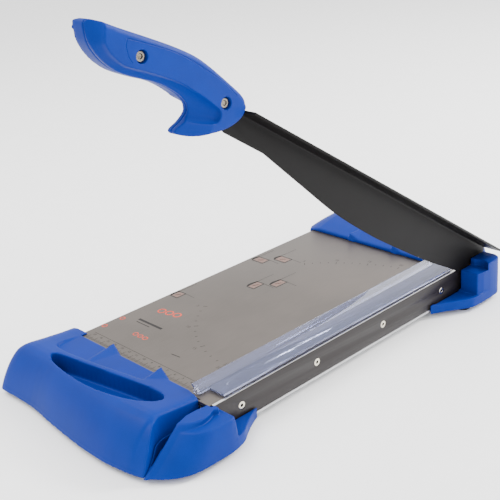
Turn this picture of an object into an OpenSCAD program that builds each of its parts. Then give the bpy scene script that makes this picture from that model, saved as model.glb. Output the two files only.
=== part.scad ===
// Lever-arm paper cutter: a steel table between two moulded end caps, with a
// blade arm hinged at the rear right corner and a two-shell pistol handle.
// Working frame: X from the table's left edge, Y from the table's front edge
// towards the hinge, Z up from the table's top. placed() moves it to the
// part's own frame, whose origin is under the middle of the base.

/* [Table] */
// Width of the table from its left edge to the cutting plane
cut_x = 182; // [176:1:190]
// Length of the table between the end caps
table_len = 295; // [290:1:300]
// Thickness of the table sheet
sheet_t = 1.5; // [1:0.1:1.5]

/* [Base] */
// Height of the table's top above the floor
floor_h = 34; // [32:0.5:38]
// Depth of the end caps below the table's top
cap_depth = 29.5; // [29:0.1:30]
// Wall thickness of the moulded end caps
wall_t = 2.6; // [2:0.1:3]
// Radius of a rubber foot
foot_r = 7; // [5:0.5:8]

/* [Lower blade] */
// Height of the lower blade bar
bar_h = 24.9; // [22:0.1:24.9]
// Thickness of the lower blade bar
bar_t = 2.5; // [2:0.1:2.5]
// Distance between the screws along the lower blade
screw_pitch = 85; // [80:1:88]
// Distance of the first screw from the table's front edge
screw_first = 19.4; // [10:0.2:25]

/* [Arm] */
// Angle of the raised arm as it is stored
arm_angle = 34; // [10:1:48]
// Thickness of the upper blade
blade_t = 1.8; // [1.5:0.1:2]
// Width of the stiffening flange on the blade's back
flange_w = 19; // [12:0.5:19]
// Radius of the pivot bolt's shoulder
pivot_r = 4; // [3:0.1:4]

/* [Handle] */
// Thickness of the whole handle
grip_t = 23; // [22:1:26]

/* [Hidden] */
$fn = 48;

cap_left = -22;                   // outer left side of the front cap
rear_left = -19.7;                // outer left side of the rear cap
cap_front = -83.2;                // front of the base
cap_rear = 374;                   // rear of the base
block_right = 206.3;              // outer right side of the base
mid_x = (cap_left + block_right) / 2;
mid_y = (cap_front + cap_rear) / 2;

bar_x = cut_x - bar_t;            // inner face of the lower blade bar
beam_t = 2.5;                     // web of the side beam
beam_x = bar_x - 0.2;             // outer face of the side beam's web
beam_left = beam_x - 19;          // free edge of the side beam's flanges
plate_lip = 8;                    // how far the table reaches under each cap's lip
side_face = 166.5;                // right side of both caps' main mouldings
clear_gap = 0.2;                  // gap between the two blades, and between close parts
bracket_right = 150;              // right end of the brackets under the table's ends
lip_edge = 6.5;                   // how far the front cap's lip stays behind the table's edge
flare_face = 178;                 // right end of the front cap's flared toe
groove_z = -14;                   // floor of the groove between the front cap and the arm rest

pivot_y = 322;
pivot_z = -6;
blade_x = cut_x + clear_gap;      // inner face of the upper blade
blade_out = blade_x + blade_t;    // outer face of the upper blade
flange_under = 22.7;              // underside of the flange above the pivot line
flange_t = 1.8;
grip_mid = (blade_x + blade_out) / 2;
lug_r = 12;                       // ears of the bar, beam and blade round the pivot
bush_r = 6;

blue = [0.14, 0.33, 0.70];
steel = [0.62, 0.60, 0.58];
dark = [0.24, 0.22, 0.22];
silver = [0.80, 0.80, 0.82];
black = [0.08, 0.08, 0.09];

foot_spots = [[-4, -52], [186, -38], [-4, 348], [192, 294]];
guard_spots = [[157, -3.2], [157, 291]];
cap_screw_x = [20, 80, 140];
block_screw_y = [-20, -30];
handle_screw_at = [[379.4, 22.2], [456.8, 22.3]];

// One point of a smooth curve through p1 and p2, for t from 0 to 1
function blend(p0, p1, p2, p3, t) =
    0.5 * (2 * p1 + (p2 - p0) * t + (2 * p0 - 5 * p1 + 4 * p2 - p3) * t * t
           + (3 * p1 - p0 - 3 * p2 + p3) * t * t * t);
// A smooth open curve through all of pts, with n steps between neighbours
function smooth(pts, n = 4) = let (m = len(pts)) concat(
    [for (i = [0 : m - 2]) for (k = [0 : n - 1])
        blend(pts[max(i - 1, 0)], pts[i], pts[i + 1], pts[min(i + 2, m - 1)], k / n)],
    [pts[m - 1]]);

module placed() { translate([-mid_x, -mid_y, floor_h]) children(); }
// A 2D shape drawn in (Y, Z), given the width w along X from x0
module along_x(x0, w) { translate([x0, 0, 0]) rotate([90, 0, 90]) linear_extrude(w) children(); }
// A 2D shape drawn in (X, Z), running from y0 to y1
module along_y(y0, y1) { translate([0, y1, 0]) rotate([90, 0, 0]) linear_extrude(y1 - y0) children(); }
// A 2D shape drawn in (X, Y), running from z0 to z1
module along_z(z0, z1) { translate([0, 0, z0]) linear_extrude(z1 - z0) children(); }
module box(lo, hi) { translate(lo) cube(hi - lo); }
// A round bar on an axis along X at (y, z)
module rod_x(x0, x1, r, y, z) { translate([x0, y, z]) rotate([0, 90, 0]) cylinder(h = x1 - x0, r = r); }
// The arm's own frame: the handle points to -Y, raised by arm_angle about the pivot
module on_arm() { translate([0, pivot_y, pivot_z]) rotate([-arm_angle, 0, 0]) children(); }

// ---- Table and its frame ----

module table_plate() color(steel) placed() difference() {
    union() {
        box([0, -plate_lip, -sheet_t], [beam_x, table_len + plate_lip, 0]);
        box([0, 4, -14], [sheet_t, table_len - 4, 0]);
    }
    for (p = guard_spots) translate([p[0], p[1], -5]) cylinder(h = 10, r = 1.3);
}

module left_channel() color(silver) placed() along_y(14, table_len - 14) difference() {
    translate([2, -sheet_t - 15]) square([18, 15]);
    translate([3.6, -sheet_t - 13.4]) square([14.8, 13.4 - 1.6]);
}

module brace(y0) color(silver) placed() difference() {
    box([20.2, y0, -sheet_t - 9], [beam_left - 0.2, y0 + 24, -sheet_t]);
    box([20, y0 + 1.6, -sheet_t - 10], [beam_left, y0 + 22.4, -sheet_t - 1.6]);
}
module cross_brace_front() { brace(70); }
module cross_brace_rear() { brace(205); }

module bracket(y0, screw_y) color(silver) placed() difference() {
    box([4, y0, -sheet_t - 2.5], [bracket_right, y0 + 29, -sheet_t]);
    for (x = cap_screw_x) translate([x, screw_y, -10]) cylinder(h = 20, r = 1.7);
}
module front_bracket() { bracket(-17, -12.6); }
module rear_bracket() { bracket(table_len - 12, table_len + 12.6); }

module side_beam() color(silver) placed() difference() {
    union() {
        box([beam_left, -9.5, -sheet_t - 2], [beam_x, 342, -sheet_t]);
        box([beam_x - beam_t, -9.5, -27], [beam_x, 342, -sheet_t]);
        box([beam_left, -9.5, -27], [cut_x + 0.3, 342, -25]);
        rod_x(beam_x - beam_t, beam_x, lug_r, pivot_y, pivot_z);
    }
    box([beam_left - 1, pivot_y - 16, -5], [beam_x - beam_t, 343, 0]);
    rod_x(150, 190, pivot_r + 0.1, pivot_y, pivot_z);
    for (i = [0 : 3]) rod_x(150, 190, 1.7, screw_first + i * screw_pitch, -12.7);
    for (y = [308, 334]) translate([170, y, -30]) cylinder(h = 10, r = 1.55);
    for (p = guard_spots) translate([p[0], p[1], -5]) cylinder(h = 10, r = 1.3);
}

module lower_blade() color(dark) placed() difference() {
    union() {
        box([bar_x, -8, -bar_h], [cut_x, 342, 0]);
        rod_x(bar_x, cut_x, lug_r, pivot_y, pivot_z);
    }
    rod_x(150, 190, pivot_r + 0.1, pivot_y, pivot_z);
    for (i = [0 : 3]) translate([0, screw_first + i * screw_pitch, -12.7]) rotate([0, 90, 0]) {
        translate([0, 0, 150]) cylinder(h = 40, r = 1.8);
        translate([0, 0, cut_x - 1.9]) cylinder(h = 2, r1 = 1.6, r2 = 3.5);
    }
}

module lower_blade_screws() color(silver) placed()
    for (i = [0 : 3]) translate([0, screw_first + i * screw_pitch, -12.7]) rotate([0, 90, 0])
        difference() {
            union() {
                translate([0, 0, 172]) cylinder(h = cut_x - 172 - 1, r = 1.6);
                translate([0, 0, cut_x - 1.75]) cylinder(h = 1.7, r1 = 1.6, r2 = 3.3);
            }
            translate([0, 0, cut_x - 1.2]) cylinder(h = 2, r = 1.45, $fn = 6);
        }

// ---- Front end cap ----

// Cap section in (Y, Z): the lip on the table, the top, the convex front; grow < 0 shrinks it
front_top = [[0.5, 1.4], [-12, 2.2], [-32, 4.2], [-48, 6.2], [-54, 6.4]];
front_nose = [[-54, 6.4], [-61, 4.5], [-68, -1.5], [-74, -9.5], [-79, -19], [-83.2, -29.5]];
module front_section() polygon(concat([[0.5, -cap_depth]], front_top, smooth(front_nose, 4)));
module front_section_inner() translate([wall_t, -wall_t])
    polygon(concat([[-11, -cap_depth - 10], [-11, 3.2]], [for (p = front_top) if (p[1] > 3) p],
                   smooth(front_nose, 4), [[-82, -40]]));
// Side section in (X, Z) with the rounded left shoulder
left_shoulder = [[-22, -29.5], [-21.8, -14], [-21, -6], [-18.6, 0], [-14.5, 4], [-9, 6], [-1, 7.2]];
module side_section(inset) translate([inset, -inset * 0.9])
    polygon(concat(smooth(left_shoulder, 3), [[(inset > 0 ? side_face - 2 * inset : flare_face), 7],
        [(inset > 0 ? side_face - 2 * inset : flare_face), -45], [-22, -45]]));
// Plan outline of the front cap's main moulding
front_line = [[-22, -60], [-21.4, -72], [-16.5, -76.3], [4.5, -75.4], [30, -75.6], [60, -79],
              [89, -81.6], [113, -83.1], [124, -83.2], [138, -83], [153, -81.4], [166.5, -79.3],
              [flare_face, -76]];
// Right wall of the front cap: straight beside the groove, then flared towards the front
flare = [[166.5, -46], [167, -50], [169.5, -55.5], [174, -62.5], [177.2, -70], [178, -76]];
module front_plan() polygon(concat([[side_face, 0.6], [cap_left, 0.6]], smooth(front_line, 4),
    [for (i = [len(flare) - 1 : -1 : 0]) flare[i]]));

// Pen tray: a crescent with a straighter rear rim and a bowed front rim
tray_rear = [[22, -46], [26, -41.5], [40, -38.5], [72, -33], [104, -27.8], [128, -24.3]];
tray_front = [[128, -24.3], [142, -24.8], [149, -29.5], [146, -38], [131.5, -48.3], [104, -55],
              [70, -56], [40, -53], [27, -49.5], [22, -46]];
module tray_outline() polygon(concat(smooth(tray_rear, 4), smooth(tray_front, 4)));
module tray_hollow(z0) along_z(z0, 20) tray_outline();
module tray_shell() intersection() {
    along_z(-11.5, 5) translate([86, -41]) scale(1.08) translate([-86, 41]) tray_outline();
    box([-15, -70, -12], [160, -15, 5]);
}

// A saw-tooth stop beside the table: steep on its left, sloping away on its right
module ridge(x0, run, y_edge, y_end, h) intersection() {
    along_y(min(y_edge, y_end), max(y_edge, y_end)) polygon([[x0, 1], [x0, h], [x0 + run, 1]]);
    along_x(x0 - 1, run + 2) polygon([[y_edge, 0], [y_edge, h + 0.1], [y_end, 1.5], [y_end, 0]]);
}

module front_cap() color(blue) placed() difference() {
    union() {
        difference() {
            intersection() {
                along_x(cap_left, flare_face - cap_left) front_section();
                along_z(-cap_depth, 20) front_plan();
                along_y(-90, 1) side_section(0);
            }
            difference() {
                intersection() {
                    along_x(cap_left, side_face - cap_left) front_section_inner();
                    along_y(-90, -8.3) side_section(wall_t);
                }
                tray_shell();
                for (x = cap_screw_x) translate([x, -12.6, -sheet_t]) cylinder(h = 8, r = 3.4);
                translate([foot_spots[0][0], foot_spots[0][1], -28]) cylinder(h = 40, r = foot_r + 2);
            }
            box([-0.2, -8.3, -40], [side_face + 1, 2, 0]);
            box([2, -20, -40], [side_face + 1, -8, -sheet_t]);
            // Recess between the tray and the table
            along_z(2.2, 9) polygon([[7, -7], [7, -33], [30, -34.5], [52, -31.5], [112, -21],
                                     [112, -7]]);
            // The lip stops short between the saw-tooth stops
            box([7, -lip_edge, 0], [side_face - 14, 2, 9]);
            // Corner cut beside the cutting line
            box([side_face - 14, -10, -40], [side_face + 1, 3, 9]);
        }
        ridge(45, 22, 1, -30, 6);
        ridge(109, 22, 1, -22, 6);
        box([side_face - 14, -12.6, -24], [side_face, -10, 1.6]);
    }
    box([-0.2, -8.3, -40], [side_face + 1, 3, 0]);
    tray_hollow(-9);
    for (x = cap_screw_x) translate([x, -12.6, -10]) cylinder(h = 11, r = 1.5);
    translate([foot_spots[0][0], foot_spots[0][1], -40]) cylinder(h = 12, r = foot_r + 0.1);
    for (y = block_screw_y) rod_x(side_face - 10, side_face + 5, 1.7, y, -18);
}

// Side block: a D-shaped outer wall with a raised arm rest and a wing along the blade
block_line = [[180, -76.8], [181.6, -73.5], [190.6, -67], [198.6, -57], [203, -45], [204, -30],
              [204, -13.4], [203, -5.4]];
wing_line = [[203, -5.4], [200, 4], [193.3, 14], [187, 25], [183.4, 33]];
block_nose = [[-33, 0.8], [-41, -2.8], [-50, -8.2], [-60, -15.6], [-68, -22.5], [-76.8, -29.5]];
module block_section(top) polygon(concat([[0, -cap_depth], [0, top]],
    smooth([for (p = block_nose) [p[0], p[1] + (top - 0.8) * (1 - (p[0] + 33) / -45)]], 3)));

module front_side_block() color(blue) placed() difference() {
    union() {
        intersection() {
            along_x(side_face + 0.1, 204 - side_face) block_section(-3);
            along_z(-cap_depth, 5) polygon(concat([[side_face + 0.1, -3.4], [side_face + 0.1, -77]],
                                                  smooth(block_line, 4), [[202, -3.4]]));
        }
        intersection() {
            along_x(side_face + 0.1, 189 - side_face) block_section(0.8);
            along_z(-cap_depth, 5) polygon([[side_face + 0.1, -10.7], [side_face + 0.1, -77],
                                            [180, -76.8], [189, -68], [189, -34], [186.5, -22],
                                            [189, -14], [187, -10.7]]);
        }
        // Wing that carries the base out along the lower blade
        along_z(-cap_depth, -20.5) polygon(concat([[cut_x + 0.9, 33], [cut_x + 0.9, -9]],
                                                  [[203, -9]], smooth(wing_line, 3)));
    }
    // Clearance round the front end of the lower blade and side beam
    box([side_face, -10.7, -40], [cut_x + 0.6, 0, 9]);
    // Fine gap along the front cap's flared toe
    along_z(-40, 9) translate([0.35, 0]) polygon(concat(flare, [[178, -80], [160, -80], [160, -46]]));
    // Groove between the front cap and the arm rest
    along_z(groove_z, 9) polygon([[160, -5], [178.2, -5], [177.6, -14], [176.4, -22], [176.6, -31],
                                  [178.8, -39], [179.2, -50], [178.8, -66], [160, -66]]);
    // Slot in the groove's floor
    along_z(-27, 9) polygon([[168.2, -35], [168.2, -47], [171, -55], [175.2, -62], [177.8, -62],
                             [177.8, -44], [176.4, -35]]);
    // Hollow underside
    along_z(-40, -10) polygon([[180.5, -16], [180.5, -50], [186, -50], [197, -38], [198, -16]]);
    translate([foot_spots[1][0], foot_spots[1][1], -40]) cylinder(h = 12, r = foot_r + 0.1);
    for (y = block_screw_y) rod_x(side_face - 5, side_face + 9, 1.5, y, -18);
}

// ---- Rear end cap ----

rear_top = [[0, 1.3], [6, 3.2], [18, 6.8], [31, 9.2], [47, 10.3], [61, 9.4], [69.5, 4.5],
            [74.5, -5], [77.6, -17], [79, -29.5]];
module rear_section() translate([table_len - 0.5, 0])
    polygon(concat([[0, -cap_depth]], smooth(rear_top, 3)));
module rear_section_inner() translate([table_len - 0.5 - wall_t, -wall_t])
    polygon(concat([[12, -cap_depth - 10], [12, 4.4]],
                   [for (p = smooth(rear_top, 3)) if (p[0] > 12) p], [[78, -42]]));
module rear_plan() polygon(concat([[-2, table_len - 0.6], [side_face, table_len - 0.6],
    [side_face, 306], [171, 309], [178, 316]],
    smooth([[178, 340], [176, 358], [166, 370], [140, 374], [80, 374], [10, 372], [-12, 368],
            [-18.5, 358], [-19.7, 340], [-19, 328], [-15, 313], [-9, 303]], 3)));
// Side section of the rear cap, whose left shoulder is rounder
rear_shoulder = [[-19.7, -29.5], [-19.2, -18], [-17.5, -10], [-14, -4.5], [-8, 1], [-1, 5.4], [6, 9]];
module tower_section(inset) translate([0, -inset])
    polygon(concat(smooth(rear_shoulder + [for (p = rear_shoulder) [inset, 0]], 3),
                   [[20, 20], [168 - inset, 20]],
                   smooth([[168 - inset, 20], [176 - inset, 7], [178 - inset, -3]], 3),
                   [[178 - inset, -45], [-19.7 + inset, -45]]));

module rear_cap() color(blue) placed() difference() {
    union() {
        difference() {
            intersection() {
                along_x(rear_left, 200) rear_section();
                along_z(-cap_depth, 20) rear_plan();
                along_y(table_len - 2, 380) tower_section(0);
            }
            difference() {
                intersection() {
                    along_x(rear_left, 200) rear_section_inner();
                    along_z(-60, 20) offset(delta = -wall_t) rear_plan();
                    along_y(table_len + 8.3, 380) tower_section(wall_t);
                }
                for (x = cap_screw_x) translate([x, table_len + 12.6, -sheet_t]) cylinder(h = 12, r = 3.4);
                translate([foot_spots[2][0], foot_spots[2][1], -28]) cylinder(h = 40, r = foot_r + 2);
            }
            box([-0.2, table_len - 2, -40], [side_face + 20, table_len + 8.3, 0]);
            box([2, table_len + 8, -40], [side_face + 20, table_len + 20, -sheet_t]);
        }
        ridge(54, 20, table_len - 1.2, table_len + 24, 6);
        ridge(109, 20, table_len - 1.2, table_len + 24, 6);
    }
    box([-0.2, table_len - 3, -40], [side_face + 1, table_len + 8.3, 0]);
    for (x = cap_screw_x) translate([x, table_len + 12.6, -10]) cylinder(h = 13, r = 1.5);
    translate([foot_spots[2][0], foot_spots[2][1], -40]) cylinder(h = 12, r = foot_r + 0.1);
    // Room for the side beam, the lower blade and the pivot's inner hardware
    box([beam_left - 0.5, table_len, -40], [200, 342.5, -sheet_t + 0.3]);
    box([170, table_len, -30], [200, 342.5, 7]);
}

// Pivot housing: the outer right block in two levels, its wing and its base web
rear_wing = [[183.2, 255], [190, 267.5], [197, 278], [202.5, 286.5], [205.5, 293], [206.3, 303]];
housing_corner = [[206.3, 322], [205.6, 330], [203, 335], [198, 337.8]];
module pivot_housing() color(blue) placed() difference() {
    union() {
        along_z(-cap_depth, 0) polygon([[185, 300.6], [203.4, 300.6], [205.4, 308], [206.3, 318], [185, 318]]);
        along_z(-cap_depth, 6.5) polygon(concat([[185, 317.6], [206.3, 317.6]],
            smooth(housing_corner, 3), [[185, 338]]));
        along_z(-cap_depth, -20.5) polygon(concat([[cut_x + 0.9, 255]], smooth(rear_wing, 3),
                                                  smooth(housing_corner, 3), [[cut_x + 0.9, 338]]));
        box([164, 303, -cap_depth], [190, 338, -27.2]);
    }
    // Round chamber for the washers and the nut, open towards the arm
    rod_x(180, 196.5, 6.6, pivot_y, pivot_z);
    for (y = [308, 334]) translate([170, y, -40]) {
        cylinder(h = 20, r = 1.7);
        cylinder(h = 11.7, r = 3);
    }
    translate([foot_spots[3][0], foot_spots[3][1], -40]) cylinder(h = 12, r = foot_r + 0.1);
    // Hollow underside of the block
    along_z(-40, -14) polygon([[188, 305], [199.5, 305], [199.5, 333], [188, 333]]);
}

// ---- Fasteners of the base and the feet ----

// Pan-head screw pointing up, its head's top at z0
module screw_up(x, y, z0, length, head_r) translate([x, y, z0]) {
    cylinder(h = length, r = 1.45);
    translate([0, 0, -1.6]) difference() {
        cylinder(h = 1.6, r = head_r);
        translate([-head_r, -0.35, -1]) cube([2 * head_r, 0.7, 1.8]);
    }
}
module cap_screws() color(silver) placed() for (x = cap_screw_x) {
    screw_up(x, -12.6, -sheet_t - 2.5, 4.6, 2.9);
    screw_up(x, table_len + 12.6, -sheet_t - 2.5, 6, 2.9);
}
module block_screws() color(silver) placed() for (y = block_screw_y) {
    rod_x(side_face - wall_t, side_face + 8, 1.45, y, -18);
    rod_x(side_face - wall_t - 1.8, side_face - wall_t, 2.9, y, -18);
}
module housing_screws() color(silver) placed() for (y = [308, 334])
    screw_up(170, y, -28.3, 7, 2.7);

module foot(p) color(black) placed() translate([p[0], p[1], -floor_h]) {
    cylinder(h = 2, r1 = foot_r - 0.8, r2 = foot_r);
    translate([0, 0, 2]) cylinder(h = 4, r = foot_r);
}
module foot_front_left() { foot(foot_spots[0]); }
module foot_front_right() { foot(foot_spots[1]); }
module foot_rear_left() { foot(foot_spots[2]); }
module foot_rear_right() { foot(foot_spots[3]); }

// ---- Clear guard beside the cutting line ----

module guard_profile() polygon([[179.4, 1.1], [179.4, 2.9], [160.6, 2.9], [155.6, 8.2],
                                [154.1, 6.8], [159.8, 1.1]]);
module blade_guard() color([0.75, 0.80, 0.95, 0.5]) placed() difference() {
    union() {
        along_y(-5.4, table_len - 1) guard_profile();
        for (p = guard_spots) along_y(p[1] - 2, p[1] + 2)
            polygon([[154.6, 0], [160, 0], [160, 2], [156, 6]]);
    }
    box([163, -10, 0], [185, 4.5, 10]);
    for (p = guard_spots) translate([p[0], p[1], -5]) cylinder(h = 8.2, r = 1.2);
}
module guard_rivets() color(silver) placed() for (p = guard_spots) translate([p[0], p[1], 0]) {
    translate([0, 0, -sheet_t]) cylinder(h = 4.2, r = 1.1);
    translate([0, 0, -sheet_t - 1.3]) cylinder(h = 1.3, r = 1.8);
}

// ---- Pivot ----

module pivot_plate() color(steel) placed() difference() {
    union() {
        box([beam_x - beam_t - 3.2, 304, -24.6], [beam_x - beam_t - 0.1, 340, -6]);
        rod_x(beam_x - beam_t - 3.2, beam_x - beam_t - 0.1, lug_r, pivot_y, pivot_z);
    }
    rod_x(150, 190, pivot_r + 0.05, pivot_y, pivot_z);
}
module hex_x(x0, x1, flats, y, z) translate([x0, y, z]) rotate([0, 90, 0])
    cylinder(h = x1 - x0, r = flats / sqrt(3), $fn = 6);
head_x = beam_x - beam_t - 3.3;   // inner seat of the bolt's head
washer_x = blade_out + 0.9;       // outer face of the bush's flange
module pivot_bolt() color(silver) placed() {
    hex_x(head_x - 4, head_x, 11, pivot_y, pivot_z);
    rod_x(head_x, washer_x, pivot_r, pivot_y, pivot_z);
    rod_x(washer_x, washer_x + 9.5, 2.95, pivot_y, pivot_z);
}
module ring_x(x0, x1, r_out, r_in) difference() {
    rod_x(x0, x1, r_out, pivot_y, pivot_z);
    rod_x(x0 - 1, x1 + 1, r_in, pivot_y, pivot_z);
}
module flat_washer() color(silver) placed() ring_x(washer_x + 0.05, washer_x + 1.25, 6, 3.1);
module spring_washer() color(silver) placed() ring_x(washer_x + 1.3, washer_x + 2.8, 5.6, 3.1);
module pivot_nut() color(silver) placed() difference() {
    hex_x(washer_x + 2.85, washer_x + 8, 10, pivot_y, pivot_z);
    rod_x(washer_x, washer_x + 12, 3, pivot_y, pivot_z);
}

// ---- Arm ----

module pivot_bush() color([0.72, 0.55, 0.25]) placed() difference() {
    union() {
        rod_x(blade_x, blade_out, bush_r - 0.02, pivot_y, pivot_z);
        rod_x(blade_out, blade_out + 0.8, 8, pivot_y, pivot_z);
    }
    rod_x(150, 190, pivot_r + 0.04, pivot_y, pivot_z);
}

cutting_edge = [[16, -9.2], [32, -9.8], [78, -13.1], [135, -14.4], [172, -14], [220, -10.6],
                [270, -2.6], [319, 5.6]];
tang = [[362, 5.9], [384, 13], [424, 18.5], [460, 19.5], [464, 26], [460, 31.5], [424, 32],
        [384, 32], [368, 29.5], [361, 24.5]];
module blade_outline() {
    polygon([for (p = concat([[-6, 24.5], [-lug_r, 8], [-lug_r, 0], [0, -lug_r]],
                             smooth(cutting_edge, 4), tang)) [-p[0], p[1]]]);
    circle(r = lug_r);
}
module arm_blade() color(dark) placed() on_arm() difference() {
    union() {
        along_x(blade_x, blade_t) blade_outline();
        box([blade_x, -359.5, flange_under], [blade_out + flange_w, 6, flange_under + flange_t]);
    }
    rod_x(150, 200, bush_r, 0, 0);
    for (p = handle_screw_at) rod_x(150, 200, 2.1, -p[0], p[1]);
}

// Handle outline in the arm's (Y, Z), given as distance from the pivot and height
grip_top = [[360.5, 23], [361.6, 29.2], [367.4, 32.9], [382.3, 35.8], [401.2, 38.8], [416.4, 39.9],
            [433.8, 38.5], [453.5, 35.6], [478.8, 31.4], [493, 29.4], [496.3, 27.7], [496.7, 25.2],
            [494.4, 21.6], [489.7, 16.2], [481.8, 11.9], [472.9, 9.4], [463, 8.8], [449, 10.9],
            [435, 13.9], [424, 14.7], [413, 14.2], [404.5, 12], [400.9, 8.6], [400.5, 5.5],
            [402.6, -0.7], [406.5, -7.2]];
grip_hook = [[406.5, -7.2], [406.6, -9.2], [404, -10], [396, -8], [389, -4.8], [382.5, -0.8],
             [374.5, 4.3], [366.8, 11], [361.8, 18], [360.5, 23]];
grip_points = concat(smooth(grip_top, 3), smooth(grip_hook, 3));
module grip_outline() polygon([for (p = grip_points) [-p[0], p[1]]]);
// The same outline drawn in by about 3 mm for the stepped outer layer
module grip_inner() translate([-429, 17]) scale([0.955, 0.86]) translate([429, -17]) grip_outline();
module tang_room() polygon([for (p = concat([[345, 5.2], [350, 5.2]], [for (q = tang) q], [[345, 25]]))
                            [-p[0], p[1]]]);

// side = -1 for the left shell, 1 for the right one
module handle_shell(side) color(blue) placed() on_arm() difference() {
    union() {
        along_x(side < 0 ? grip_mid - grip_t / 2 + 3 : grip_mid + 0.05, grip_t / 2 - 3.05)
            grip_outline();
        along_x(side < 0 ? grip_mid - grip_t / 2 : grip_mid + grip_t / 2 - 3, 3) grip_inner();
    }
    along_x(grip_mid - blade_t / 2 - 0.1, blade_t + 0.2)
        translate([-410, 19]) scale([1.02, 1.06]) translate([410, -19]) tang_room();
    // The left half is slim low down, to pass beside the front cap as the arm closes
    if (side < 0) box([100, -412, -16], [grip_mid - 3.8, -350, 13.5]);
    for (p = handle_screw_at) {
        rod_x(150, 220, 2.1, -p[0], p[1]);
        rod_x(grip_mid + grip_t / 2 - 4, 220, 4.3, -p[0], p[1]);
        hex_x(150, grip_mid - grip_t / 2 + 4, 7.4, -p[0], p[1]);
    }
}
module handle_left() { handle_shell(-1); }
module handle_right() { handle_shell(1); }

screw_seat = grip_mid + grip_t / 2 - 4;
nut_seat = grip_mid - grip_t / 2 + 4;
module handle_screws() color(silver) placed() on_arm() for (p = handle_screw_at) difference() {
    union() {
        rod_x(nut_seat - 3.4, screw_seat, 1.95, -p[0], p[1]);
        rod_x(screw_seat, screw_seat + 2.4, 3.8, -p[0], p[1]);
    }
    hex_x(screw_seat + 0.8, screw_seat + 4, 2.5, -p[0], p[1]);
}
module handle_nuts() color(silver) placed() on_arm() for (p = handle_screw_at) difference() {
    hex_x(nut_seat - 3, nut_seat, 7, -p[0], p[1]);
    rod_x(nut_seat - 5, nut_seat + 1, 2, -p[0], p[1]);
}

table_plate();
left_channel();
side_beam();
cross_brace_front();
cross_brace_rear();
front_bracket();
rear_bracket();
lower_blade();
lower_blade_screws();
front_cap();
front_side_block();
rear_cap();
pivot_housing();
cap_screws();
block_screws();
housing_screws();
foot_front_left();
foot_front_right();
foot_rear_left();
foot_rear_right();
blade_guard();
guard_rivets();
pivot_plate();
pivot_bolt();
flat_washer();
spring_washer();
pivot_nut();
pivot_bush();
arm_blade();
handle_left();
handle_right();
handle_screws();
handle_nuts();
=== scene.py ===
"""Lever paper cutter: its mouldings, steel, guard and print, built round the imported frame."""

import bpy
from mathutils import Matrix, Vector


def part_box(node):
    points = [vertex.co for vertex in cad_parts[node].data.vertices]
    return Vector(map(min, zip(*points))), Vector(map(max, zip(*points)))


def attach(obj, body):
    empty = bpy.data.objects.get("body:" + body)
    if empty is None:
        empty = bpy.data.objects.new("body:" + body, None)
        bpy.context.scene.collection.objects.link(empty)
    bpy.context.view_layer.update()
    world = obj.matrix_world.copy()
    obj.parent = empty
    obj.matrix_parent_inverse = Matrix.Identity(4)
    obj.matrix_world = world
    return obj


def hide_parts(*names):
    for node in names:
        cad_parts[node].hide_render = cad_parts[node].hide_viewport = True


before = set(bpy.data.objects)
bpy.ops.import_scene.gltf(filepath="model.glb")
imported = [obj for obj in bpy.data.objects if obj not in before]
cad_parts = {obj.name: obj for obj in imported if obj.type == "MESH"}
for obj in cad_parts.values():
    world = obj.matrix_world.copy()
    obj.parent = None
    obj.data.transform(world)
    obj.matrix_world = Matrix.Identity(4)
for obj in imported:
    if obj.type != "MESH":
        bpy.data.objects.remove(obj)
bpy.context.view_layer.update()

import logging
import math
from dataclasses import dataclass
from enum import Enum
from typing import Callable, ClassVar, Sequence

import bpy
from mathutils import Matrix, Vector

log = logging.getLogger("paper_cutter")

MM = 0.001
Pair = tuple[float, float]
Triple = tuple[float, float, float]
Piece = bpy.types.Object

# Heights in the bench frame that several pieces share, in millimetres
UNDER = -40.0  # below the whole base, where tools that cut from below start
RIM = -29.5  # the mouldings' bottom rim
SEAT = -28.0  # where the feet are seated

# The hinge's axis in the bench frame, in Y and Z
PIVOT = (322.0, -6.0)


class Body(Enum):
    """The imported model's bodies."""

    BASE = "base"
    ARM = "arm"


class Join(Enum):
    """How a tool acts on a solid."""

    CUT = "DIFFERENCE"
    FUSE = "UNION"


# ---------------------------------------------------------------- frames


@dataclass(frozen=True)
class Bench:
    """The table's frame in millimetres: X from its left edge, Y from its front edge, Z from its top."""

    axis: ClassVar[Triple] = (0, 0, 1)
    left: float
    front: float
    top: float

    @classmethod
    def from_frame(cls, front_lip: float = 8.0) -> "Bench":
        """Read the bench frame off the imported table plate.

        Args:
            front_lip: how far the plate reaches under the front cap, in millimetres.

        Returns:
            The bench frame, with its zero point in metres.
        """
        low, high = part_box("table_plate")
        return cls(low[0], low[1] + front_lip * MM, high[2])

    def at(self, x: float, y: float, z: float) -> Vector:
        """Turn bench millimetres into the model's metres."""
        return Vector((self.left + x * MM, self.front + y * MM, self.top + z * MM))

    def z_of(self, metres: float) -> float:
        """Turn a height in the model into bench millimetres."""
        return (metres - self.top) / MM


@dataclass(frozen=True)
class Arm:
    """The raised arm's frame: reach from the pivot towards the handle, rise square to it."""

    axis: ClassVar[Triple] = (1, 0, 0)
    bench: Bench
    raised: float = math.radians(34.0)

    def at(self, reach: float, rise: float, x: float) -> Vector:
        """Turn a point of the arm, in millimetres, into the model's metres."""
        cos, sin = math.cos(self.raised), math.sin(self.raised)
        y, z = PIVOT
        return self.bench.at(x, y - reach * cos + rise * sin, z + reach * sin + rise * cos)


# ---------------------------------------------------------------- curves


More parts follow.
